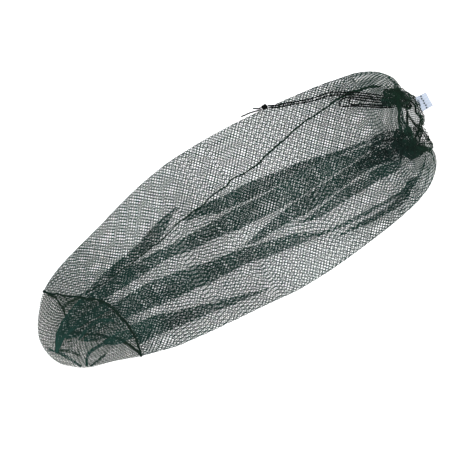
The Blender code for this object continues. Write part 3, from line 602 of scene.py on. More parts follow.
class NetSurface:
    """Middle surface of the tube, the gathered mouth and the hem.

    Rows run across the net, from the base seam to the inside of the hem, and columns are
    even shares of each row's length, counted from the side seam.
    """

    def __init__(self, row_step, columns):
        count = int(round((BODY_END_X - BODY_START_X) / row_step))
        x = np.linspace(BODY_START_X, BODY_END_X, count + 1)
        section, far_index = tube_sections(x)
        walked = walk(section)
        around = walked[:, -1]
        anchor = self.seam_place(section, walked, far_index, x)
        share = (np.arange(columns + 1) / columns)[None, :]
        wanted = (anchor[:, None] + share * around[:, None]) % around[:, None]
        tube = read_rows(walked, section, wanted)
        far_walk = walked[:, far_index]
        width_share = share_at(x[:, None], tube[..., 1])
        above = wanted <= far_walk[:, None]
        seam = np.where(above, seam_x(width_share, True), seam_x(width_share, False))
        self.tube_rows = len(x)
        last, far, whole = wanted[-1], far_walk[-1], around[-1]
        turn = np.where(last <= far, math.pi * last / far - math.pi / 2,
                        math.pi * (last - far) / (whole - far) + math.pi / 2)
        mouth = self.mouth(tube[-1], turn, row_step)
        self.grid = np.concatenate((tube, mouth), axis=0)
        self.limit = np.concatenate((seam, np.full(mouth.shape[:2], -np.inf)), axis=0)
        self.columns = columns

    @staticmethod
    def seam_place(section, walked, far_index, x):
        """Length at which the side seam stands, the last place where the top passes its y."""
        seam_y = read_table(SIDE_SEAM, x, 1)
        top = section[:, :far_index, 1]
        inside = top <= seam_y[:, None]
        index = far_index - 1 - np.argmax(inside[:, ::-1], axis=1)
        rows = np.arange(len(x))
        y0, y1 = top[rows, index], section[rows, index + 1, 1]
        part = np.clip((seam_y - y0) / np.maximum(y1 - y0, 1e-6), 0.0, 1.0)
        return walked[rows, index] * (1 - part) + walked[rows, index + 1] * part

    @staticmethod
    def mouth(start, even, row_step):
        """Pleated funnel from the last section to the hem, then the hem's curl round the cord.

        Each column is a cubic arc from the section to the hem, pushed aside by the pleats,
        and then a spiral round the cord whose radius shrinks.  The cloth beside each bunch
        hangs out past it, by exp(-(angle / half its cloth)^4).
        """
        turn, bunch = bunched(even)
        centre, outward, forward = ring_frame(turn)
        top = np.cos(turn)
        lead = np.radians(HEM_START_SIDE + top * np.where(
            top < 0, HEM_START_SIDE - HEM_START_BOTTOM, HEM_START_TOP - HEM_START_SIDE))
        end = centre + HEM_OUTER * direction_at(lead, outward, forward)
        spread = np.sin(even)
        leave = start + np.stack((FUNNEL_AHEAD + FUNNEL_AHEAD_SIDE * spread ** 2,
                                  -FUNNEL_INWARD * spread ** 3,
                                  FUNNEL_UP * np.maximum(np.cos(even), 0)), axis=-1)
        arrive = end - FUNNEL_ARRIVE * direction_at(lead, forward, -outward)
        hanging = np.zeros((len(even), 1))
        for corner, bulge in ((-math.pi / 2, NEAR_BULGE), (math.pi / 2, FAR_BULGE)):
            away = np.abs(half_turn(even - corner))
            edge = np.argmin(away)
            share = np.exp(-(away / HANGING_CLOTH) ** 4)[:, None]
            beside = arrive[edge] + bulge + 0.8 * (start - start[edge])
            arrive = arrive * (1 - share) + beside * share
            hanging += share
        arrive += np.maximum(-np.cos(even), 0.0)[:, None] * np.array(LOW_BULGE)
        pleat = pleats(even, turn, bunch, hanging)
        rows = []
        steps = int(round(FUNNEL_LENGTH / row_step))
        for part in np.arange(1, steps + 1) / steps:
            ring = ((1 - part) ** 3 * start + 3 * part * (1 - part) ** 2 * leave
                    + 3 * part ** 2 * (1 - part) * arrive + part ** 3 * end)
            rows.append(ring + pleat * (smooth_step(part * 1.25 - 0.1) * part))
        steps = int(round(HEM_LENGTH / row_step))
        for part in np.arange(1, steps + 1) / steps:
            radius = HEM_OUTER + (HEM_INNER - HEM_OUTER) * smooth_step(part * 2)
            ring = centre + radius * direction_at(lead + (HEM_END - lead) * part, outward, forward)
            rows.append(ring + pleat * (1 - 0.35 * part))
        rings = np.array(rows)
        rings[..., 2] = np.maximum(rings[..., 2], FLOOR)
        return rings

    def at(self, row, column):
        """Points of the surface at fractional rows and columns."""
        row = np.clip(row, 0, len(self.grid) - 1.001)
        column = np.clip(column, 0, self.columns - 0.001)
        low_row, low_column = np.floor(row).astype(int), np.floor(column).astype(int)
        down, along = (row - low_row)[..., None], (column - low_column)[..., None]
        grid = self.grid
        return ((1 - down) * ((1 - along) * grid[low_row, low_column]
                              + along * grid[low_row, low_column + 1])
                + down * ((1 - along) * grid[low_row + 1, low_column]
                          + along * grid[low_row + 1, low_column + 1]))

    def limit_at(self, row, column):
        row = np.clip(np.rint(row).astype(int), 0, len(self.grid) - 1)
        return self.limit[row, np.clip(np.rint(column).astype(int), 0, self.columns)]


# ---- meshes and materials

def linear(hex_value):
    """sRGB hex such as "2a4a3c" as a linear colour with alpha 1."""
    parts = [int(hex_value[i:i + 2], 16) / 255 for i in (0, 2, 4)]
    return tuple(p / 12.92 if p <= 0.04045 else ((p + 0.055) / 1.055) ** 2.4 for p in parts) + (1.0,)


def add_object(name, data):
    """Puts data in the scene as an object at the origin."""
    added = bpy.data.objects.new(name, data)
    bpy.context.scene.collection.objects.link(added)
    return added


def make_mesh(name, points, faces):
    """Mesh object from arrays: points in millimetres, faces of three or four corners."""
    mesh = bpy.data.meshes.new(name)
    points = np.asarray(points, dtype=np.float64) * MM
    faces = np.asarray(faces, dtype=np.int64)
    mesh.vertices.add(len(points))
    mesh.vertices.foreach_set("co", points.ravel())
    mesh.loops.add(faces.size)
    mesh.loops.foreach_set("vertex_index", faces.ravel())
    mesh.polygons.add(len(faces))
    mesh.polygons.foreach_set("loop_start", np.arange(len(faces)) * faces.shape[1])
    mesh.polygons.foreach_set("use_smooth", np.ones(len(faces), dtype=bool))
    mesh.update(calc_edges=True)
    mesh.validate()
    return add_object(name, mesh)


def finish_piece(piece, look, slot, *nodes):
    """Gives a piece its material, and says how it rides and which solids it stands for."""
    piece.data.materials.append(material_of(look))
    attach(piece, "root")
    if nodes:
        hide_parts(*nodes)


def finish_cord(piece, node):
    finish_piece(piece, "braided_polypropylene_cord", "drawstring_cord", node)


def yarn_tubes(centre, across, normal, radius, keep):
    """Four-sided tubes along many yarns at once.

    Each yarn is a column of nodes.  A node's ring is its centre plus radius times
    (cos(a) * across * sqrt(2) + sin(a) * normal), so that a zigzag yarn, which crosses its
    rings at 45 degrees, comes out round.  keep is true for the nodes that have yarn.
    """
    rows, yarns = centre.shape[:2]
    angle = np.arange(4) * math.pi / 2
    ring = direction_at(angle, math.sqrt(2) * across[:, :, None], normal[:, :, None])
    thick = np.broadcast_to(radius, (rows, yarns))[:, :, None, None]
    points = (centre[:, :, None] + thick * ring).reshape(-1, 3)
    index = np.arange(rows * yarns).reshape(rows, yarns) * 4
    both = keep[:-1] & keep[1:]
    low, high = index[:-1][both], index[1:][both]
    sides = [np.stack((low + a, low + (a + 1) % 4, high + (a + 1) % 4, high + a), axis=-1)
             for a in range(4)]
    before, after = np.pad(both, ((1, 0), (0, 0))), np.pad(both, ((0, 1), (0, 0)))
    caps = [index[after & ~before][:, None] + (3, 2, 1, 0),
            index[before & ~after][:, None] + (0, 1, 2, 3)]
    faces = np.concatenate(sides + caps)
    used, faces = np.unique(faces, return_inverse=True)
    return points[used], faces.reshape(-1, 4)


def lattice(rows, yarns):
    """Rows, yarns and the side, -1 or 1, to which a zigzag swings at each of its nodes."""
    row, yarn = rows[:, None], yarns[None, :]
    return row, yarn, np.where((row + yarn) % 2 == 0, -1.0, 1.0)


def yarn_net(surface, at_row, column, keep, radius, reach):
    """Zigzag yarns over a surface: points, faces and the yarns' length in mm.

    surface gives points for rows and columns.  The yarn's ring at each node stands along
    the surface's own column direction and its normal, taken over plus and minus reach.
    """
    centre = surface(at_row, column)
    across = surface(at_row, column + reach[1]) - surface(at_row, column - reach[1])
    along = surface(at_row + reach[0], column) - surface(at_row - reach[0], column)
    across = unit(across)
    points, faces = yarn_tubes(centre, across, unit(np.cross(along, across)), radius, keep)
    run = np.linalg.norm(np.diff(centre, axis=0), axis=2)
    return points, faces, float((run * (keep[:-1] & keep[1:])).sum())


def folded_band(line, wide, thick, height, spacing, radius, crumple=0.0, allowed=None):
    """Zigzag yarns of a band of cloth folded double along a line.

    Its section is a flat ellipse, half width times cos(a) across the line and thick times
    sin(a) up from a given height.  Crumpling adds sines of three and five times a that
    turn as the rows go by.  allowed tells for x and y where the band may show.
    """
    place = np.arange(len(line))
    side = cord_frames(line)[1]
    yarns = max(2 * int(round(2.1 * wide.max() / spacing)), 6)

    def surface(row, column):
        low = np.clip(row, 0, len(line) - 1)
        angle = 2 * math.pi * column / yarns
        reach = np.interp(low, place, wide) * np.cos(angle)
        reach = reach * (1 + 0.25 * crumple * np.sin(5 * angle + 0.7 * low))
        point = read_line(low, place, line) + read_line(low, place, side) * reach[..., None]
        up = np.interp(low, place, thick) * (np.sin(angle)
                                             + 0.5 * crumple * np.sin(3 * angle + 0.9 * low))
        ripple = 0.4 * np.sin(low * 0.55 + reach * 0.4)
        point[..., 2] = np.maximum(height(point[..., 0], point[..., 1], low) + up + ripple, FLOOR)
        return point

    row, yarn, swing = lattice(place, np.arange(yarns))
    column = yarn + 0.5 + BAND_SWING * swing
    at_row = np.broadcast_to(row, column.shape).astype(float)
    if allowed is None:
        keep = np.ones(column.shape, dtype=bool)
    else:
        keep = allowed(*np.moveaxis(surface(at_row, column)[..., :2], -1, 0))
    return yarn_net(surface, at_row, column, keep, radius, (0.5, 0.3))


def band_line(table, step):
    """Even points along a table of x, y, half width, and the half width at each."""
    line = even_route([(x, y, 0.0) for x, y, _ in table], step)
    wide = np.interp(np.linspace(0, 1, len(line)), np.linspace(0, 1, len(table)),
                     [row[2] for row in table])
    return line, wide


def sheet_piece(name, nets, look, node):
    """Nets of yarn joined as one piece of cloth."""
    points, faces, lengths = zip(*nets)
    starts = np.cumsum([0] + [len(part) for part in points])
    piece = make_mesh(name, np.concatenate(points),
                      np.concatenate([part + start for part, start in zip(faces, starts)]))
    finish_piece(piece, look, "mesh_polyester", node)


def bands_piece(name, bands, look, node):
    """Bands of doubled cloth as one sheet, as if they were sewn end to end.

    Each comes as its net, its length and the width of its cloth, opened out; the length and the
    width are not used.
    """
    nets, lengths, widths = zip(*bands)
    sheet_piece(name, nets, look, node)


def cord_frames(route, closed=False):
    """Directions ahead, level across and up at each point of a route."""
    if closed:
        ahead = np.roll(route, -1, axis=0) - np.roll(route, 1, axis=0)
    else:
        ahead = np.gradient(route, axis=0)
    ahead = unit(ahead)
    side = np.cross(ahead, (0.0, 0.0, 1.0))
    steep = np.linalg.norm(side, axis=1) < 0.2
    side[steep] = np.cross(ahead[steep], (0.0, 1.0, 0.0))
    side = unit(side)
    return ahead, side, np.cross(side, ahead)


def sweep_tube(route, radius, sides, closed=False, flatten=1.0):
    """Round tube along a route, with UV: length along it in mm, share round it.

    Each ring is the route's point plus radius times (cos(a) * side + sin(a) * up), with
    side level and across the route, and up square to both.
    """
    route = np.asarray(route, dtype=float)
    ahead, side, up = cord_frames(route, closed)
    radius = np.broadcast_to(np.asarray(radius, dtype=float), (len(route),))
    angle = np.linspace(0, 2 * math.pi, sides + 1)
    ring = direction_at(angle, side[:, None], up[:, None] * flatten)
    points = route[:, None] + radius[:, None, None] * ring
    length = walk(route[None])[0]
    uv = np.stack(np.broadcast_arrays(length[:, None], angle[None] / (2 * math.pi)), axis=-1)
    index = np.arange(len(route) * len(angle)).reshape(len(route), len(angle))
    now, after = (index, np.roll(index, -1, axis=0)) if closed else (index[:-1], index[1:])
    faces = np.stack((now[:, :-1], now[:, 1:], after[:, 1:], after[:, :-1]), axis=-1)
    faces = faces.reshape(-1, 4)
    points, uv = points.reshape(-1, 3), uv.reshape(-1, 2)
    if not closed:
        tips = np.array([route[0] - ahead[0] * radius[0] * 0.4,
                         route[-1] + ahead[-1] * radius[-1] * 0.4])
        first, last, tip = index[0], index[-1], np.full(sides, len(points))
        points = np.concatenate((points, tips))
        uv = np.concatenate((uv, [[0.0, 0.5], [length[-1], 0.5]]))
        faces = np.concatenate((faces, np.stack((first[1:], first[:-1], tip, tip), axis=-1),
                                np.stack((last[:-1], last[1:], tip + 1, tip + 1), axis=-1)))
    return points, faces, uv


def tube_piece(name, *sweeps):
    """Swept tubes as one object, doubles merged and faces pointing outwards."""
    mesh = bpy.data.meshes.new(name)
    points, lists, first = [], [], 0
    for swept, faces, _ in sweeps:
        points.append(swept * MM)
        lists += [tuple(dict.fromkeys(face)) for face in (faces + first).tolist()]
        first += len(swept)
    uv = np.concatenate([sweep[2] for sweep in sweeps])
    mesh.from_pydata(np.concatenate(points).tolist(), [], lists)
    layer = mesh.uv_layers.new(name="UVMap")
    corners = np.empty(len(mesh.loops), dtype=np.int64)
    mesh.loops.foreach_get("vertex_index", corners)
    layer.data.foreach_set("uv", uv[corners].ravel())
    work = bmesh.new()
    work.from_mesh(mesh)
    bmesh.ops.remove_doubles(work, verts=work.verts, dist=1e-7)
    bmesh.ops.recalc_face_normals(work, faces=work.faces)
    work.to_mesh(mesh)
    work.free()
    mesh.shade_smooth()
    return add_object(name, mesh)


def overlocked(name, route, thick, pitch, *node, closed=False):
    """A seam's bead with the sewing thread looped round it.

    The bead is a flattened tube.  The thread is a helix round it, one turn for each stitch,
    whose radius swells and shrinks by a tenth, as hand-fed stitches do.
    """
    fine = even_route(route, pitch / 10, closed)
    length = walk(fine[None])[0]
    thick = np.interp(np.linspace(0, 1, len(fine)), np.linspace(0, 1, len(thick)), thick)
    _, side, up = cord_frames(fine, closed)
    turn = 2 * math.pi * length / pitch
    swell = thick * (1.0 + 0.1 * np.sin(length / 3.1) + 0.08 * np.sin(length / 1.7))
    thread = fine + swell[:, None] * direction_at(turn, side, SEAM_FLATTEN * up)
    thread[:, 2] = np.maximum(thread[:, 2], THREAD_HEIGHT)
    bead = sweep_tube(fine[::8], BEAD_SHARE * thick[::8], 8, closed, SEAM_FLATTEN)
    piece = tube_piece(name, bead, sweep_tube(thread, THREAD_RADIUS, 4, closed))
    finish_piece(piece, "overlocked_polyester_thread", "overlock_thread", *node)


def even_route(route, step, closed=False):
    """Points a step apart along smooth arcs through a route's own points."""
    fine = smooth_path(np.array(route, dtype=float)[None], 24, closed)[0]
    if closed:
        fine = np.concatenate((fine, fine[:1]))
    walked = walk(fine[None])[0]
    count = max(int(round(walked[-1] / step)), 3)
    even = np.linspace(0.0, walked[-1], count + 1)
    points = read_line(even, walked, fine)
    return points[:-1] if closed else points


def add_node(tree, kind, values):
    """Adds a node; a value is a property, an input's value or a socket to link to an input."""
    node = tree.nodes.new(kind)
    for name, value in values.items():
        if isinstance(value, bpy.types.NodeSocket):
            tree.links.new(value, node.inputs[name])
        elif isinstance(name, str) and hasattr(node, name):
            setattr(node, name, value)
        else:
            node.inputs[name].default_value = value
    return node


def new_material(name, roughness, sheen=0.0, specular=0.5):
    """Empty material with a Principled shader; returns it, its tree and the shader."""
    material = bpy.data.materials.new(name)
    material.use_nodes = True
    tree = material.node_tree
    shader = tree.nodes["Principled BSDF"]
    for socket, value in (("Roughness", roughness), ("Sheen Weight", sheen),
                          ("Specular IOR Level", specular), ("Metallic", 0.0)):
        shader.inputs[socket].default_value = value
    return material, tree, shader


def object_place(tree):
    """The place on the piece, in metres."""
    return add_node(tree, "ShaderNodeTexCoord", {}).outputs["Object"]


def texture(tree, kind, values):
    """Adds a texture that runs through the piece."""
    return add_node(tree, kind, {"Vector": object_place(tree), **values}).outputs["Fac"]


def two_tone(tree, factor, dark, light):
    """Ramp from a dark to a light sRGB hex colour over a factor of 0.3 to 0.7."""
    ramp = add_node(tree, "ShaderNodeValToRGB", {"Fac": factor})
    for element, position, tone in zip(ramp.color_ramp.elements, (0.3, 0.7), (dark, light)):
        element.position = position
        element.color = linear(tone)
    return ramp.outputs["Color"]


def knitted_polyester(tree, patch, dark, light, hem_dark, hem_light):
    """Spun polyester yarn, 1 mm thick, knitted to a mesh.

    Matte, with next to no shine because its fibres stand in all directions.  Its colour
    changes over patches of the given width in mm, and towards the mouth, over the x of
    HEM_TINT, it turns to the second pair of tones, which are greener and a little darker.
    Its plies are a fine bump, drawn at 0.5 mm because 0.2 mm is too fine.
    """
    patches = texture(tree, "ShaderNodeTexNoise", {"Scale": 1 / (patch * MM), "Detail": 3.0})
    plies = texture(tree, "ShaderNodeTexNoise", {"Scale": 1 / (0.5 * MM), "Detail": 1.0})
    split = add_node(tree, "ShaderNodeSeparateXYZ", {"Vector": object_place(tree)})
    near_mouth = add_node(tree, "ShaderNodeMapRange",
                          {"Value": split.outputs["X"], "From Min": HEM_TINT[0] * MM,
                           "From Max": HEM_TINT[1] * MM})
    mixed = add_node(tree, "ShaderNodeMix",
                     {"data_type": "RGBA", 0: near_mouth.outputs["Result"],
                      6: two_tone(tree, patches, dark, light),
                      7: two_tone(tree, patches, hem_dark, hem_light)})
    return mixed.outputs[2], plies


def overlock_thread(tree, dark, light):
    """Textured polyester sewing thread, looped over the seam's edge; soft and matte."""
    fuzz = texture(tree, "ShaderNodeTexNoise", {"Scale": 1 / (1.5 * MM), "Detail": 2.0})
    return two_tone(tree, fuzz, dark, light), fuzz


def braided_cord(tree, dark, light):
    """Black braided polypropylene cord, 2.5 mm thick, with a slight shine.

    Two sets of strands wind against each other: sines of the length over 3.2 mm plus and
    minus twice the turn round the cord, of which the higher one shows.
    """
    uv = add_node(tree, "ShaderNodeUVMap", {"uv_map": "UVMap"})
    split = add_node(tree, "ShaderNodeSeparateXYZ", {"Vector": uv.outputs["UV"]})

    def math_node(operation, *inputs):
        values = {"operation": operation, **dict(enumerate(inputs))}
        return add_node(tree, "ShaderNodeMath", values).outputs[0]

    along = math_node("MULTIPLY", split.outputs["X"], 2 * math.pi / 3.2)
    around = math_node("MULTIPLY", split.outputs["Y"], 4 * math.pi)
    strands = [math_node("SINE", math_node(operation, along, around))
               for operation in ("ADD", "SUBTRACT")]
    level = add_node(tree, "ShaderNodeMapRange",
                     {"Value": math_node("MAXIMUM", *strands), "From Min": -1.0, "From Max": 1.0})
    level = level.outputs["Result"]
    # the grooves between the strands take the darker tone and the strands' crests the lighter one:
    # painted shade of the braid
    return two_tone(tree, level, dark, light), level


def woven_satin(tree, pale, shade):
    """Woven polyester satin tape: smooth and white, with fine cross ribs 0.8 mm apart."""
    ribs = texture(tree, "ShaderNodeTexWave", {"wave_type": "BANDS", "bands_direction": "Y",
                                               "Scale": 1 / (0.8 * MM) / 20, "Distortion": 0.4})
    return two_tone(tree, ribs, shade, pale), ribs


KNITTED = ((0.75, 0.02, 0.12), (0.35, 0.2), knitted_polyester)
LOOKS = {              # roughness, sheen, specular; strength and depth in mm of its bump; look
    "braided_polypropylene_cord": (
        (0.75, 0.0, 0.06), (0.6, 0.3), braided_cord, "020404", "080c0b"),
    "knitted_polyester_yarn": (*KNITTED, 60, "102823", "1a3a34", "0a271c", "153a2e"),
    # the gathers' yarn is a darker copy of the tube's yarn, mottled over 7 mm: its near-black tones
    # are painted shade inside the crumpled cloth
    "knitted_polyester_gathers_painted_shade": (*KNITTED, 7, "050f0e", "15302b", "04100b", "0e3020"),
    "knitted_polyester_base_yarn": (*KNITTED, 60, "16251d", "22342a", "16251d", "22342a"),
    "overlocked_polyester_thread": (
        (0.85, 0.02, 0.1), (0.5, 0.2), overlock_thread, "06140f", "10281e"),
    "woven_satin_label": ((0.42, 0.2, 0.5), (0.2, 0.1), woven_satin, "a9b3c2", "9fa9b9"),
}


def material_of(name):
    """The material of that name, made when it is first asked for."""
    if name in bpy.data.materials:
        return bpy.data.materials[name]
    shine, (strength, depth), look, *values = LOOKS[name]
    material, tree, shader = new_material(name, *shine)
    colour, height = look(tree, *values)
    bump = add_node(tree, "ShaderNodeBump",
                    {"Strength": strength, "Distance": depth * MM, "Height": height})
    tree.links.new(colour, shader.inputs["Base Color"])
    tree.links.new(bump.outputs["Normal"], shader.inputs["Normal"])
    return material


# ---- settings that a user would change

def length_setting(name, description, default):
    return bpy.props.FloatProperty(name=name, description=description, default=default * MM,
                                   unit="LENGTH", precision=5)


class KeepnetSizes(bpy.types.PropertyGroup):
    yarn_thickness: length_setting("Yarn thickness", "Thickness of the mesh yarn", 1.12)
    mesh_step: length_setting("Mesh step", "Distance between rows of knots along the tube", 3.4)
    yarn_count: bpy.props.IntProperty(
        name="Yarns round the tube", description="How many yarns run along the tube, an even number",
        default=232, min=8)
    base_step: length_setting(
        "Base mesh step", "Distance between rows of knots in the round base", 3.2)
    base_radius: length_setting("Base radius", "Radius to which the round base is cut", 125)
    cord_thickness: length_setting("Cord thickness", "Thickness of the drawstring", 2.5)
    stitch_pitch: length_setting(
        "Stitch pitch", "Distance between the loops of an overlocked seam", 2.6)


class KeepnetStudio(bpy.types.PropertyGroup):
    floor_colour: bpy.props.FloatVectorProperty(
        name="Floor", description="Colour of the studio floor",
        default=(0.92, 0.92, 0.92), subtype="COLOR", min=0.0, max=1.0)
    floor_glow: bpy.props.FloatProperty(
        name="Floor glow", description="How far the floor is lit beyond the lights",
        default=0.35, min=0.0)


# ---- operators

class KEEPNET_OT_stage(bpy.types.Operator):
    """Adds the camera above the net, a pale floor and soft studio lights"""
    bl_idname = "keepnet.stage"
    bl_label = "Stage"

    def execute(self, context):
        scene, studio = context.scene, context.scene.keepnet_studio
        camera = add_object("camera", bpy.data.cameras.new("camera"))
        camera.data.lens, camera.data.sensor_width = CAMERA_LENS, SENSOR_WIDTH
        camera.location = (*VIEW_CENTRE, VIEW_WIDTH * CAMERA_LENS / SENSOR_WIDTH)
        camera.rotation_euler = (0.0, 0.0, VIEW_TURN)
        camera.data.clip_end = 50.0
        scene.camera = camera

        corners = np.array(((-1, -1, 0), (1, -1, 0), (1, 1, 0), (-1, 1, 0))) * FLOOR_REACH
        floor = make_mesh("studio_floor", corners - np.array((0, 0, FLOOR_DROP)), ((0, 1, 2, 3),))
        material, _, shader = new_material("painted_floor", 0.8)
        shader.inputs["Base Color"].default_value = (*studio.floor_colour, 1.0)
        shader.inputs["Emission Color"].default_value = (1.0, 1.0, 1.0, 1.0)
        shader.inputs["Emission Strength"].default_value = studio.floor_glow
        floor.data.materials.append(material)

        for name, place, size, power in LIGHTS:
            light = add_object(name, bpy.data.lights.new(name, "AREA"))
            light.data.shape = "DISK"
            light.data.size, light.data.energy = size, power
            light.location = place
            light.rotation_euler = (-Vector(place)).to_track_quat("-Z", "Y").to_euler()
        world = bpy.data.worlds.new("studio")
        world.use_nodes = True
        backdrop = world.node_tree.nodes["Background"]
        backdrop.inputs["Color"].default_value = (1.0, 1.0, 1.0, 1.0)
        backdrop.inputs["Strength"].default_value = BACKDROP_LIGHT
        scene.world = world
        scene.view_settings.view_transform = "Standard"
        return {"FINISHED"}


class KEEPNET_OT_drawstring(bpy.types.Operator):
    """Adds the drawstring: its run inside the hem, two strands, a slack loop and two ends"""
    bl_idname = "keepnet.drawstring"
    bl_label = "Drawstring"

    def execute(self, context):
        thick = context.scene.keepnet_sizes.cord_thickness
        radius = thick / MM / 2
        knot = tube_piece("cord_drawstring_knot", *(
            sweep_tube(self.trefoil(turned, shift), radius * KNOT_TIGHT, 10, True)
            for turned, shift in KNOT_CORDS))
        finish_cord(knot, "drawstring_knot")
        for name, table, end in CORDS:
            route = even_route(table, CORD_STEP)
            piece = tube_piece("cord_" + name, sweep_tube(route, radius, 12))
            finish_cord(piece, name)
            if name == "drawstring_tail_short":
                continue
        centre, outward, _ = ring_frame(np.radians(np.linspace(*CASING_RUN, 240)))
        run = tube_piece("cord_drawstring_casing_run",
                         sweep_tube(centre - CORD_INSET * outward, radius, 12))
        finish_cord(run, "drawstring_casing_run")
        return {"FINISHED"}

    @staticmethod
    def trefoil(turned, shift):
        """One cord's way through the knot.

        A trefoil (2 + cos 3t) (cos 2t, sin 2t), sin 3t, pulled tight and turned on its side.
        """
        t = np.linspace(0, 2 * math.pi, 120, endpoint=False)
        wide = 2 + np.cos(3 * t)
        size_x, size_y, size_z = KNOT_SIZE
        knot = np.stack((size_x * wide * np.cos(2 * t + turned) + shift,
                         size_y * wide * np.sin(2 * t + turned), size_z * np.sin(3 * t)), axis=-1)
        return knot + np.array(KNOT_CENTRE)


@functools.lru_cache(maxsize=2)
def net_surface(row_step, columns):
    return NetSurface(row_step, columns)


def sizes_of(context):
    """The tube's surface, its row step, its yarn count and the yarn's radius, in mm."""
    sizes = context.scene.keepnet_sizes
    step, yarns = sizes.mesh_step / MM, sizes.yarn_count
    surface = net_surface(round(step, 4), yarns * YARN_COLUMNS)
    return surface, step, yarns, sizes.yarn_thickness / MM / 2


class KEEPNET_OT_tube_mesh(bpy.types.Operator):
    """Lays the yarns of the tube, the gathered mouth and the hem"""
    bl_idname = "keepnet.tube_mesh"
    bl_label = "Tube mesh"

    def execute(self, context):
        surface, row_step, yarns, radius = sizes_of(context)
        rows = len(surface.grid)
        spare = int(TWIST_ROWS / 2) + 2
        row, yarn, swing = lattice(np.arange(-spare, rows + spare), np.arange(yarns))
        cell = (walk(surface.grid)[:, -1] / yarns)[np.clip(row, 0, rows - 1)]
        swing = swing * (0.5 - np.clip(radius / np.maximum(cell, 1e-6), 0.0, 0.42))
        share = (yarn + 0.5) / yarns
        drift = 0.5 * np.sin(2 * math.pi * (row / DRIFT_ROWS + 3 * share)) * smooth_step(share * 8)
        column = (yarn + 0.5 + swing + drift * smooth_step((1 - share) * 8)) * YARN_COLUMNS
        at_row = row + TWIST_ROWS * (column / YARN_COLUMNS / yarns - 0.5)
        inside = (at_row >= 0) & (at_row <= rows - 1)
        keep = inside & (surface.at(at_row, column)[..., 0] > surface.limit_at(at_row, column))
        pitch = np.linalg.norm(surface.at(at_row, column + YARN_COLUMNS / 2)
                               - surface.at(at_row, column - YARN_COLUMNS / 2), axis=-1)
        local = radius * np.clip(pitch / LOOSE_PITCH, 0.5, 1.0)
        cuts = [int((len(row) - 1) * cut) for cut in TUBE_CUTS]
        names = ("net_tube_back", "net_tube_middle", "net_tube_front")
        for name, first, last in zip(names, cuts[:-1], cuts[1:]):
            part = slice(first, last + 1)
            net = yarn_net(surface.at, at_row[part], column[part], keep[part], local[part],
                           (1, 1.4))
            sheet_piece(name, [net], "knitted_polyester_yarn", "net_body")
        front = surface.grid[surface.tube_rows - int(GATHERS_REACH / row_step):].reshape(-1, 3)
        bands = [self.gather(table, spacing, front, row_step * BAND_STEP, radius)
                 for spacing, *table in GATHERS]
        # the gathers get the darker copy of the yarn, whose dark tones are painted shade
        bands_piece("net_gathers", bands, "knitted_polyester_gathers_painted_shade", "net_body")
        return {"FINISHED"}

    @staticmethod
    def gather(table, spacing, front, step, radius):
        """A crumpled band on top of the net below it; also its length and opened width."""
        line, wide = band_line(table, step)
        thick = GATHER_THICK * wide + GATHER_LEAST
        below = []
        for (x, y, _), reach in zip(line, wide):
            close = np.hypot(front[:, 0] - x, front[:, 1] - y) < max(0.6 * reach, 2.5)
            below.append(front[close, 2].max() if close.any() else FLOOR)
        below = np.convolve(np.pad(below, 3, mode="edge"), np.ones(7) / 7, mode="valid")
        top = below + 0.5 * thick + GATHER_LIFT

        def height(x, y, low):
            return np.interp(low, np.arange(len(line)), top)

        net = folded_band(line, wide, thick, height, spacing, radius, crumple=1.0)
        return net, len(line) * step, GATHER_OPENED * wide.mean()


class BaseSurface:
    """Middle surface of the round base, wrapped round the end of the tube.

    A point at a, b of the flat round cut, in parts of its radius, lies on the straight line
    from the outline's point at (1 + b) / 2 of its length to the seam's point at
    acos(-b) / pi of its length, a / sqrt(1 - b^2) of the way: above for a > 0 and below
    for a < 0.
    """

    def __init__(self, reach):
        self.reach = reach
        share = np.linspace(0.0, 1.0, 500)
        self.seams = []
        for above in (True, False):
            x, y = seam_line(share, above)
            self.seams.append(self.by_length(x - SEAM_INSET, y))
        near_x = TIP_X + (seam_x(0.0, True) - TIP_X) * (1 - share) ** 3
        far_x = TIP_X + (seam_x(1.0, True) - TIP_X) * share ** 3
        self.outline = self.by_length(
            np.concatenate((near_x, far_x)),
            np.concatenate((near_edge(near_x), far_edge(far_x))))

    @staticmethod
    def by_length(x, y):
        """A line's points, and the part of its length at which each stands."""
        line = np.stack((x, y), axis=-1)
        walked = walk(line[None])[0]
        return walked / walked[-1], line

    def at(self, cut_a, cut_b):
        a, b = cut_a / self.reach, np.clip(cut_b / self.reach, -0.9999, 0.9999)
        part = np.clip(np.abs(a) / np.sqrt(1 - b * b), 0.0, 1.0)[..., None]
        above = a >= 0
        upper, lower = (read_line(np.arccos(-b) / math.pi, *seam) for seam in self.seams)
        edge = read_line((1 + b) / 2, *self.outline)
        place = edge + (np.where(above[..., None], upper, lower) - edge) * part
        x, y = place[..., 0], place[..., 1]
        roll = roll_at(x)
        rise = smooth_step(part[..., 0] * 14.0)
        z = np.where(above, FLOOR + roll + (upper_height(x, y) - FLOOR - roll) * rise,
                     FLOOR + roll * (1 - rise))
        pucker = 0.5 * np.sin(2 * math.pi * (x / 23.0 + y / 31.0)) * rise
        return np.stack((x, y, z + np.where(above, pucker, 0.0)), axis=-1)


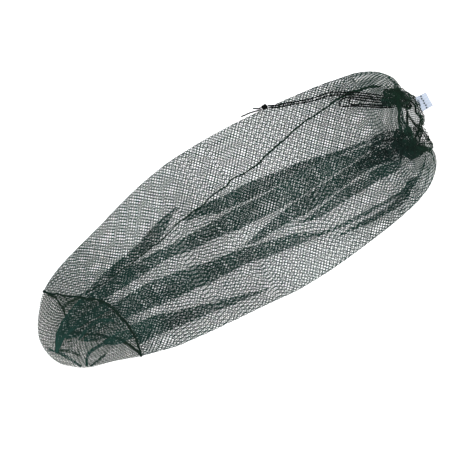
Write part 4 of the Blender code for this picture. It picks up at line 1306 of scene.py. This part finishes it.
class KEEPNET_OT_base_mesh(bpy.types.Operator):
    """Lays the yarns of the round base and of its tucks"""
    bl_idname = "keepnet.base_mesh"
    bl_label = "Base mesh"

    def execute(self, context):
        sizes = context.scene.keepnet_sizes
        step, reach = sizes.base_step / MM, sizes.base_radius / MM
        radius = sizes.yarn_thickness / MM / 2 * BASE_YARN
        surface = BaseSurface(reach)
        half_count = int(reach / step)
        row, yarn, swing = lattice(np.arange(-half_count, half_count + 1),
                                   np.arange(-half_count - 1, half_count + 1))
        cut_b = (yarn + 0.5 + swing * (0.5 - radius / step)) * step
        cut_a = np.broadcast_to(row * step, cut_b.shape).astype(float)
        cut_a = cut_a + BASE_WANDER * np.sin(cut_b / BASE_WANDER_WIDTH)
        keep = np.hypot(cut_a, cut_b) <= reach
        net = yarn_net(surface.at, cut_a, cut_b, keep, radius, (0.6, 0.6))
        sheet_piece("net_base", [net],
                    "knitted_polyester_base_yarn", "base_panel")
        bands = [self.tuck(table, above, spacing, step, radius)
                 for above, spacing, *table in TUCKS]
        bands_piece("net_base_tucks", bands, "knitted_polyester_yarn", "base_panel")
        return {"FINISHED"}

    @staticmethod
    def tuck(table, above, spacing, step, radius):
        """Cloth folded double a little above a layer; also its length and opened width."""
        line, wide = band_line(table, step)
        lift = LAYER_PITCH if above else LAYER_PITCH * 1.2

        def height(x, y, _):
            return lift + (upper_height(x, y) if above else FLOOR)

        def behind_seam(x, y):
            return x < seam_x(share_at(x, y), True)

        thick = np.full(len(line), LAYER_PITCH / 2)
        net = folded_band(line, wide, thick, height, spacing, radius,
                          allowed=behind_seam if above else None)
        return net, len(line) * step, TUCK_OPENED * wide.mean()


class KEEPNET_OT_seams(bpy.types.Operator):
    """Sews the tube's side seam, the seam round the base and the edge of the hem"""
    bl_idname = "keepnet.seams"
    bl_label = "Overlocked seams"

    def execute(self, context):
        surface = sizes_of(context)[0]
        pitch = context.scene.keepnet_sizes.stitch_pitch / MM
        side = surface.grid[:, 0]
        first = np.argmax(side[:, 0] > seam_x(SIDE_SEAM_START, True) + SIDE_SEAM_GAP)
        route = side[first:surface.tube_rows + SIDE_SEAM_PAST:3].copy()
        route[:, 1] += 0.5 * np.sin(route[:, 0] / 5.2) + 0.8 * np.sin(route[:, 0] / 14.0)
        route[:, 2] += SEAM_LIFT
        thick = np.interp(route[:, 0], *zip(*SIDE_SEAM_THICK))
        overlocked("side_seam_stitched", route, thick, pitch, "side_seam")

        halves = []
        share = np.linspace(0.0, 1.0, 90)
        for above in (True, False):
            x, y = seam_line(share, above)
            folded = sum(self.inside(fold, x, y) for fold in (SWEEP_FOLD, CROWN_FOLD, SKIRT_FOLD))
            z = (upper_height(x, y) + BASE_SEAM_LIFT + 2 * LAYER_PITCH * folded if above
                 else 0.0 * x + BASE_SEAM_HEIGHT)
            y = y + 0.7 * np.sin(x / 4.0) + 0.6 * np.sin(share * 70.0)
            halves.append(np.stack((x + 0.6 * np.sin(share * 47.0), y, z), axis=-1))
        loop = np.concatenate((halves[0], halves[1][::-1][1:-1]))
        thick = np.interp(np.arange(len(loop)) / len(share), *zip(*BASE_SEAM_THICK))
        overlocked("base_seam_stitched", loop[::2], thick[::2], pitch, "base_seam", closed=True)

        edge = surface.grid[-1, :-1:6].copy()
        thick = np.full(len(edge), HEM_SEAM_THICK)
        overlocked("hem_stitched", edge, thick, pitch, closed=True)
        return {"FINISHED"}

    @staticmethod
    def inside(fold, x, y):
        """1 where a fold lies, easing to 0 beside it."""
        low, high, opening = fold_at(fold, x)
        return (smooth_step((y - low + 4.0) / 4.0) * smooth_step((high + 4.0 - y) / 4.0)
                * smooth_step(opening / FOLD_RISEN))


class KEEPNET_OT_label(bpy.types.Operator):
    """Adds the blank satin label and the stitches that hold it"""
    bl_idname = "keepnet.label"
    bl_label = "Blank label"

    def execute(self, context):
        along = np.array(LABEL_ALONG)
        across = np.array((-LABEL_ALONG[1], LABEL_ALONG[0]))
        part, wide = np.meshgrid(np.linspace(0, 1, 25), np.linspace(0, 1, 29), indexing="ij")
        sheets = [self.place(part, wide, along, across, side * LABEL_THICKNESS / 2).reshape(-1, 3)
                  for side in (1.0, -1.0)]
        index = np.arange(part.size).reshape(part.shape)
        upper = np.stack((index[:-1, :-1], index[1:, :-1], index[1:, 1:], index[:-1, 1:]),
                         axis=-1).reshape(-1, 4)
        border = np.concatenate((index[0, :-1], index[:-1, -1], index[-1, :0:-1], index[:0:-1, 0]))
        after = np.roll(border, -1)
        edges = np.stack((border, after, after + part.size, border + part.size), axis=-1)
        faces = (upper, upper[:, ::-1] + part.size, edges)
        piece = make_mesh("label_blank", np.concatenate(sheets), np.concatenate(faces))
        finish_piece(piece, "woven_satin_label", "label_satin", "label")

        count = int(LABEL_WIDTH / LABEL_STITCH_PITCH)
        stitches = []
        for step in range(count):
            wide = (step + np.linspace(0.3, 0.7, 5)) / count
            part = np.full(5, LABEL_STITCH + LABEL_STITCH_STAGGER * (step % 2))
            run = self.place(part, wide, along, across,
                             LABEL_THICKNESS / 2 + LABEL_STITCH_LIFT)
            stitches.append(sweep_tube(run, LABEL_THREAD, 6))
        row = tube_piece("label_stitches", *stitches)
        finish_piece(row, "overlocked_polyester_thread", "overlock_thread")
        return {"FINISHED"}

    @staticmethod
    def place(part, wide, along, across, lift):
        """Points of the label: it falls as (1 - part)^2 from the hem, waves and curls a little."""
        flat = (np.array(LABEL_CORNER) + part[..., None] * LABEL_LENGTH * along
                + wide[..., None] * LABEL_WIDTH * across)
        wave = 0.8 * np.sin(2.6 * wide + 4.0 * part) * part + 1.2 * part * (2 * wide - 1) ** 2
        height = LABEL_HEIGHT + LABEL_LIFT * (1 - part) ** 2 + wave
        return np.concatenate((flat, (height + lift)[..., None]), axis=-1)


class KEEPNET_PT_panel(bpy.types.Panel):
    """Lists the sizes, the studio and the steps that build the keepnet"""
    bl_idname = "KEEPNET_PT_panel"
    bl_label = "Keepnet"
    bl_space_type = "VIEW_3D"
    bl_region_type = "UI"
    bl_category = "Keepnet"

    def draw(self, context):
        layout = self.layout
        for group in (context.scene.keepnet_sizes, context.scene.keepnet_studio):
            for name in group.__annotations__:
                layout.prop(group, name)
        for step in STEPS:
            layout.operator(step.bl_idname)


STEPS = (KEEPNET_OT_stage, KEEPNET_OT_drawstring, KEEPNET_OT_tube_mesh, KEEPNET_OT_base_mesh,
         KEEPNET_OT_seams, KEEPNET_OT_label)
CLASSES = (KeepnetSizes, KeepnetStudio, *STEPS, KEEPNET_PT_panel)


def register():
    for piece_class in CLASSES:
        bpy.utils.register_class(piece_class)
    bpy.types.Scene.keepnet_sizes = bpy.props.PointerProperty(type=KeepnetSizes)
    bpy.types.Scene.keepnet_studio = bpy.props.PointerProperty(type=KeepnetStudio)


def unregister():
    del bpy.types.Scene.keepnet_studio
    del bpy.types.Scene.keepnet_sizes
    for piece_class in reversed(CLASSES):
        bpy.utils.unregister_class(piece_class)


def main():
    register()
    bpy.ops.keepnet.stage()
    bpy.ops.keepnet.drawstring()
    bpy.ops.keepnet.tube_mesh()
    bpy.ops.keepnet.base_mesh()
    bpy.ops.keepnet.seams()
    bpy.ops.keepnet.label()


if __name__ == "__main__":
    main()
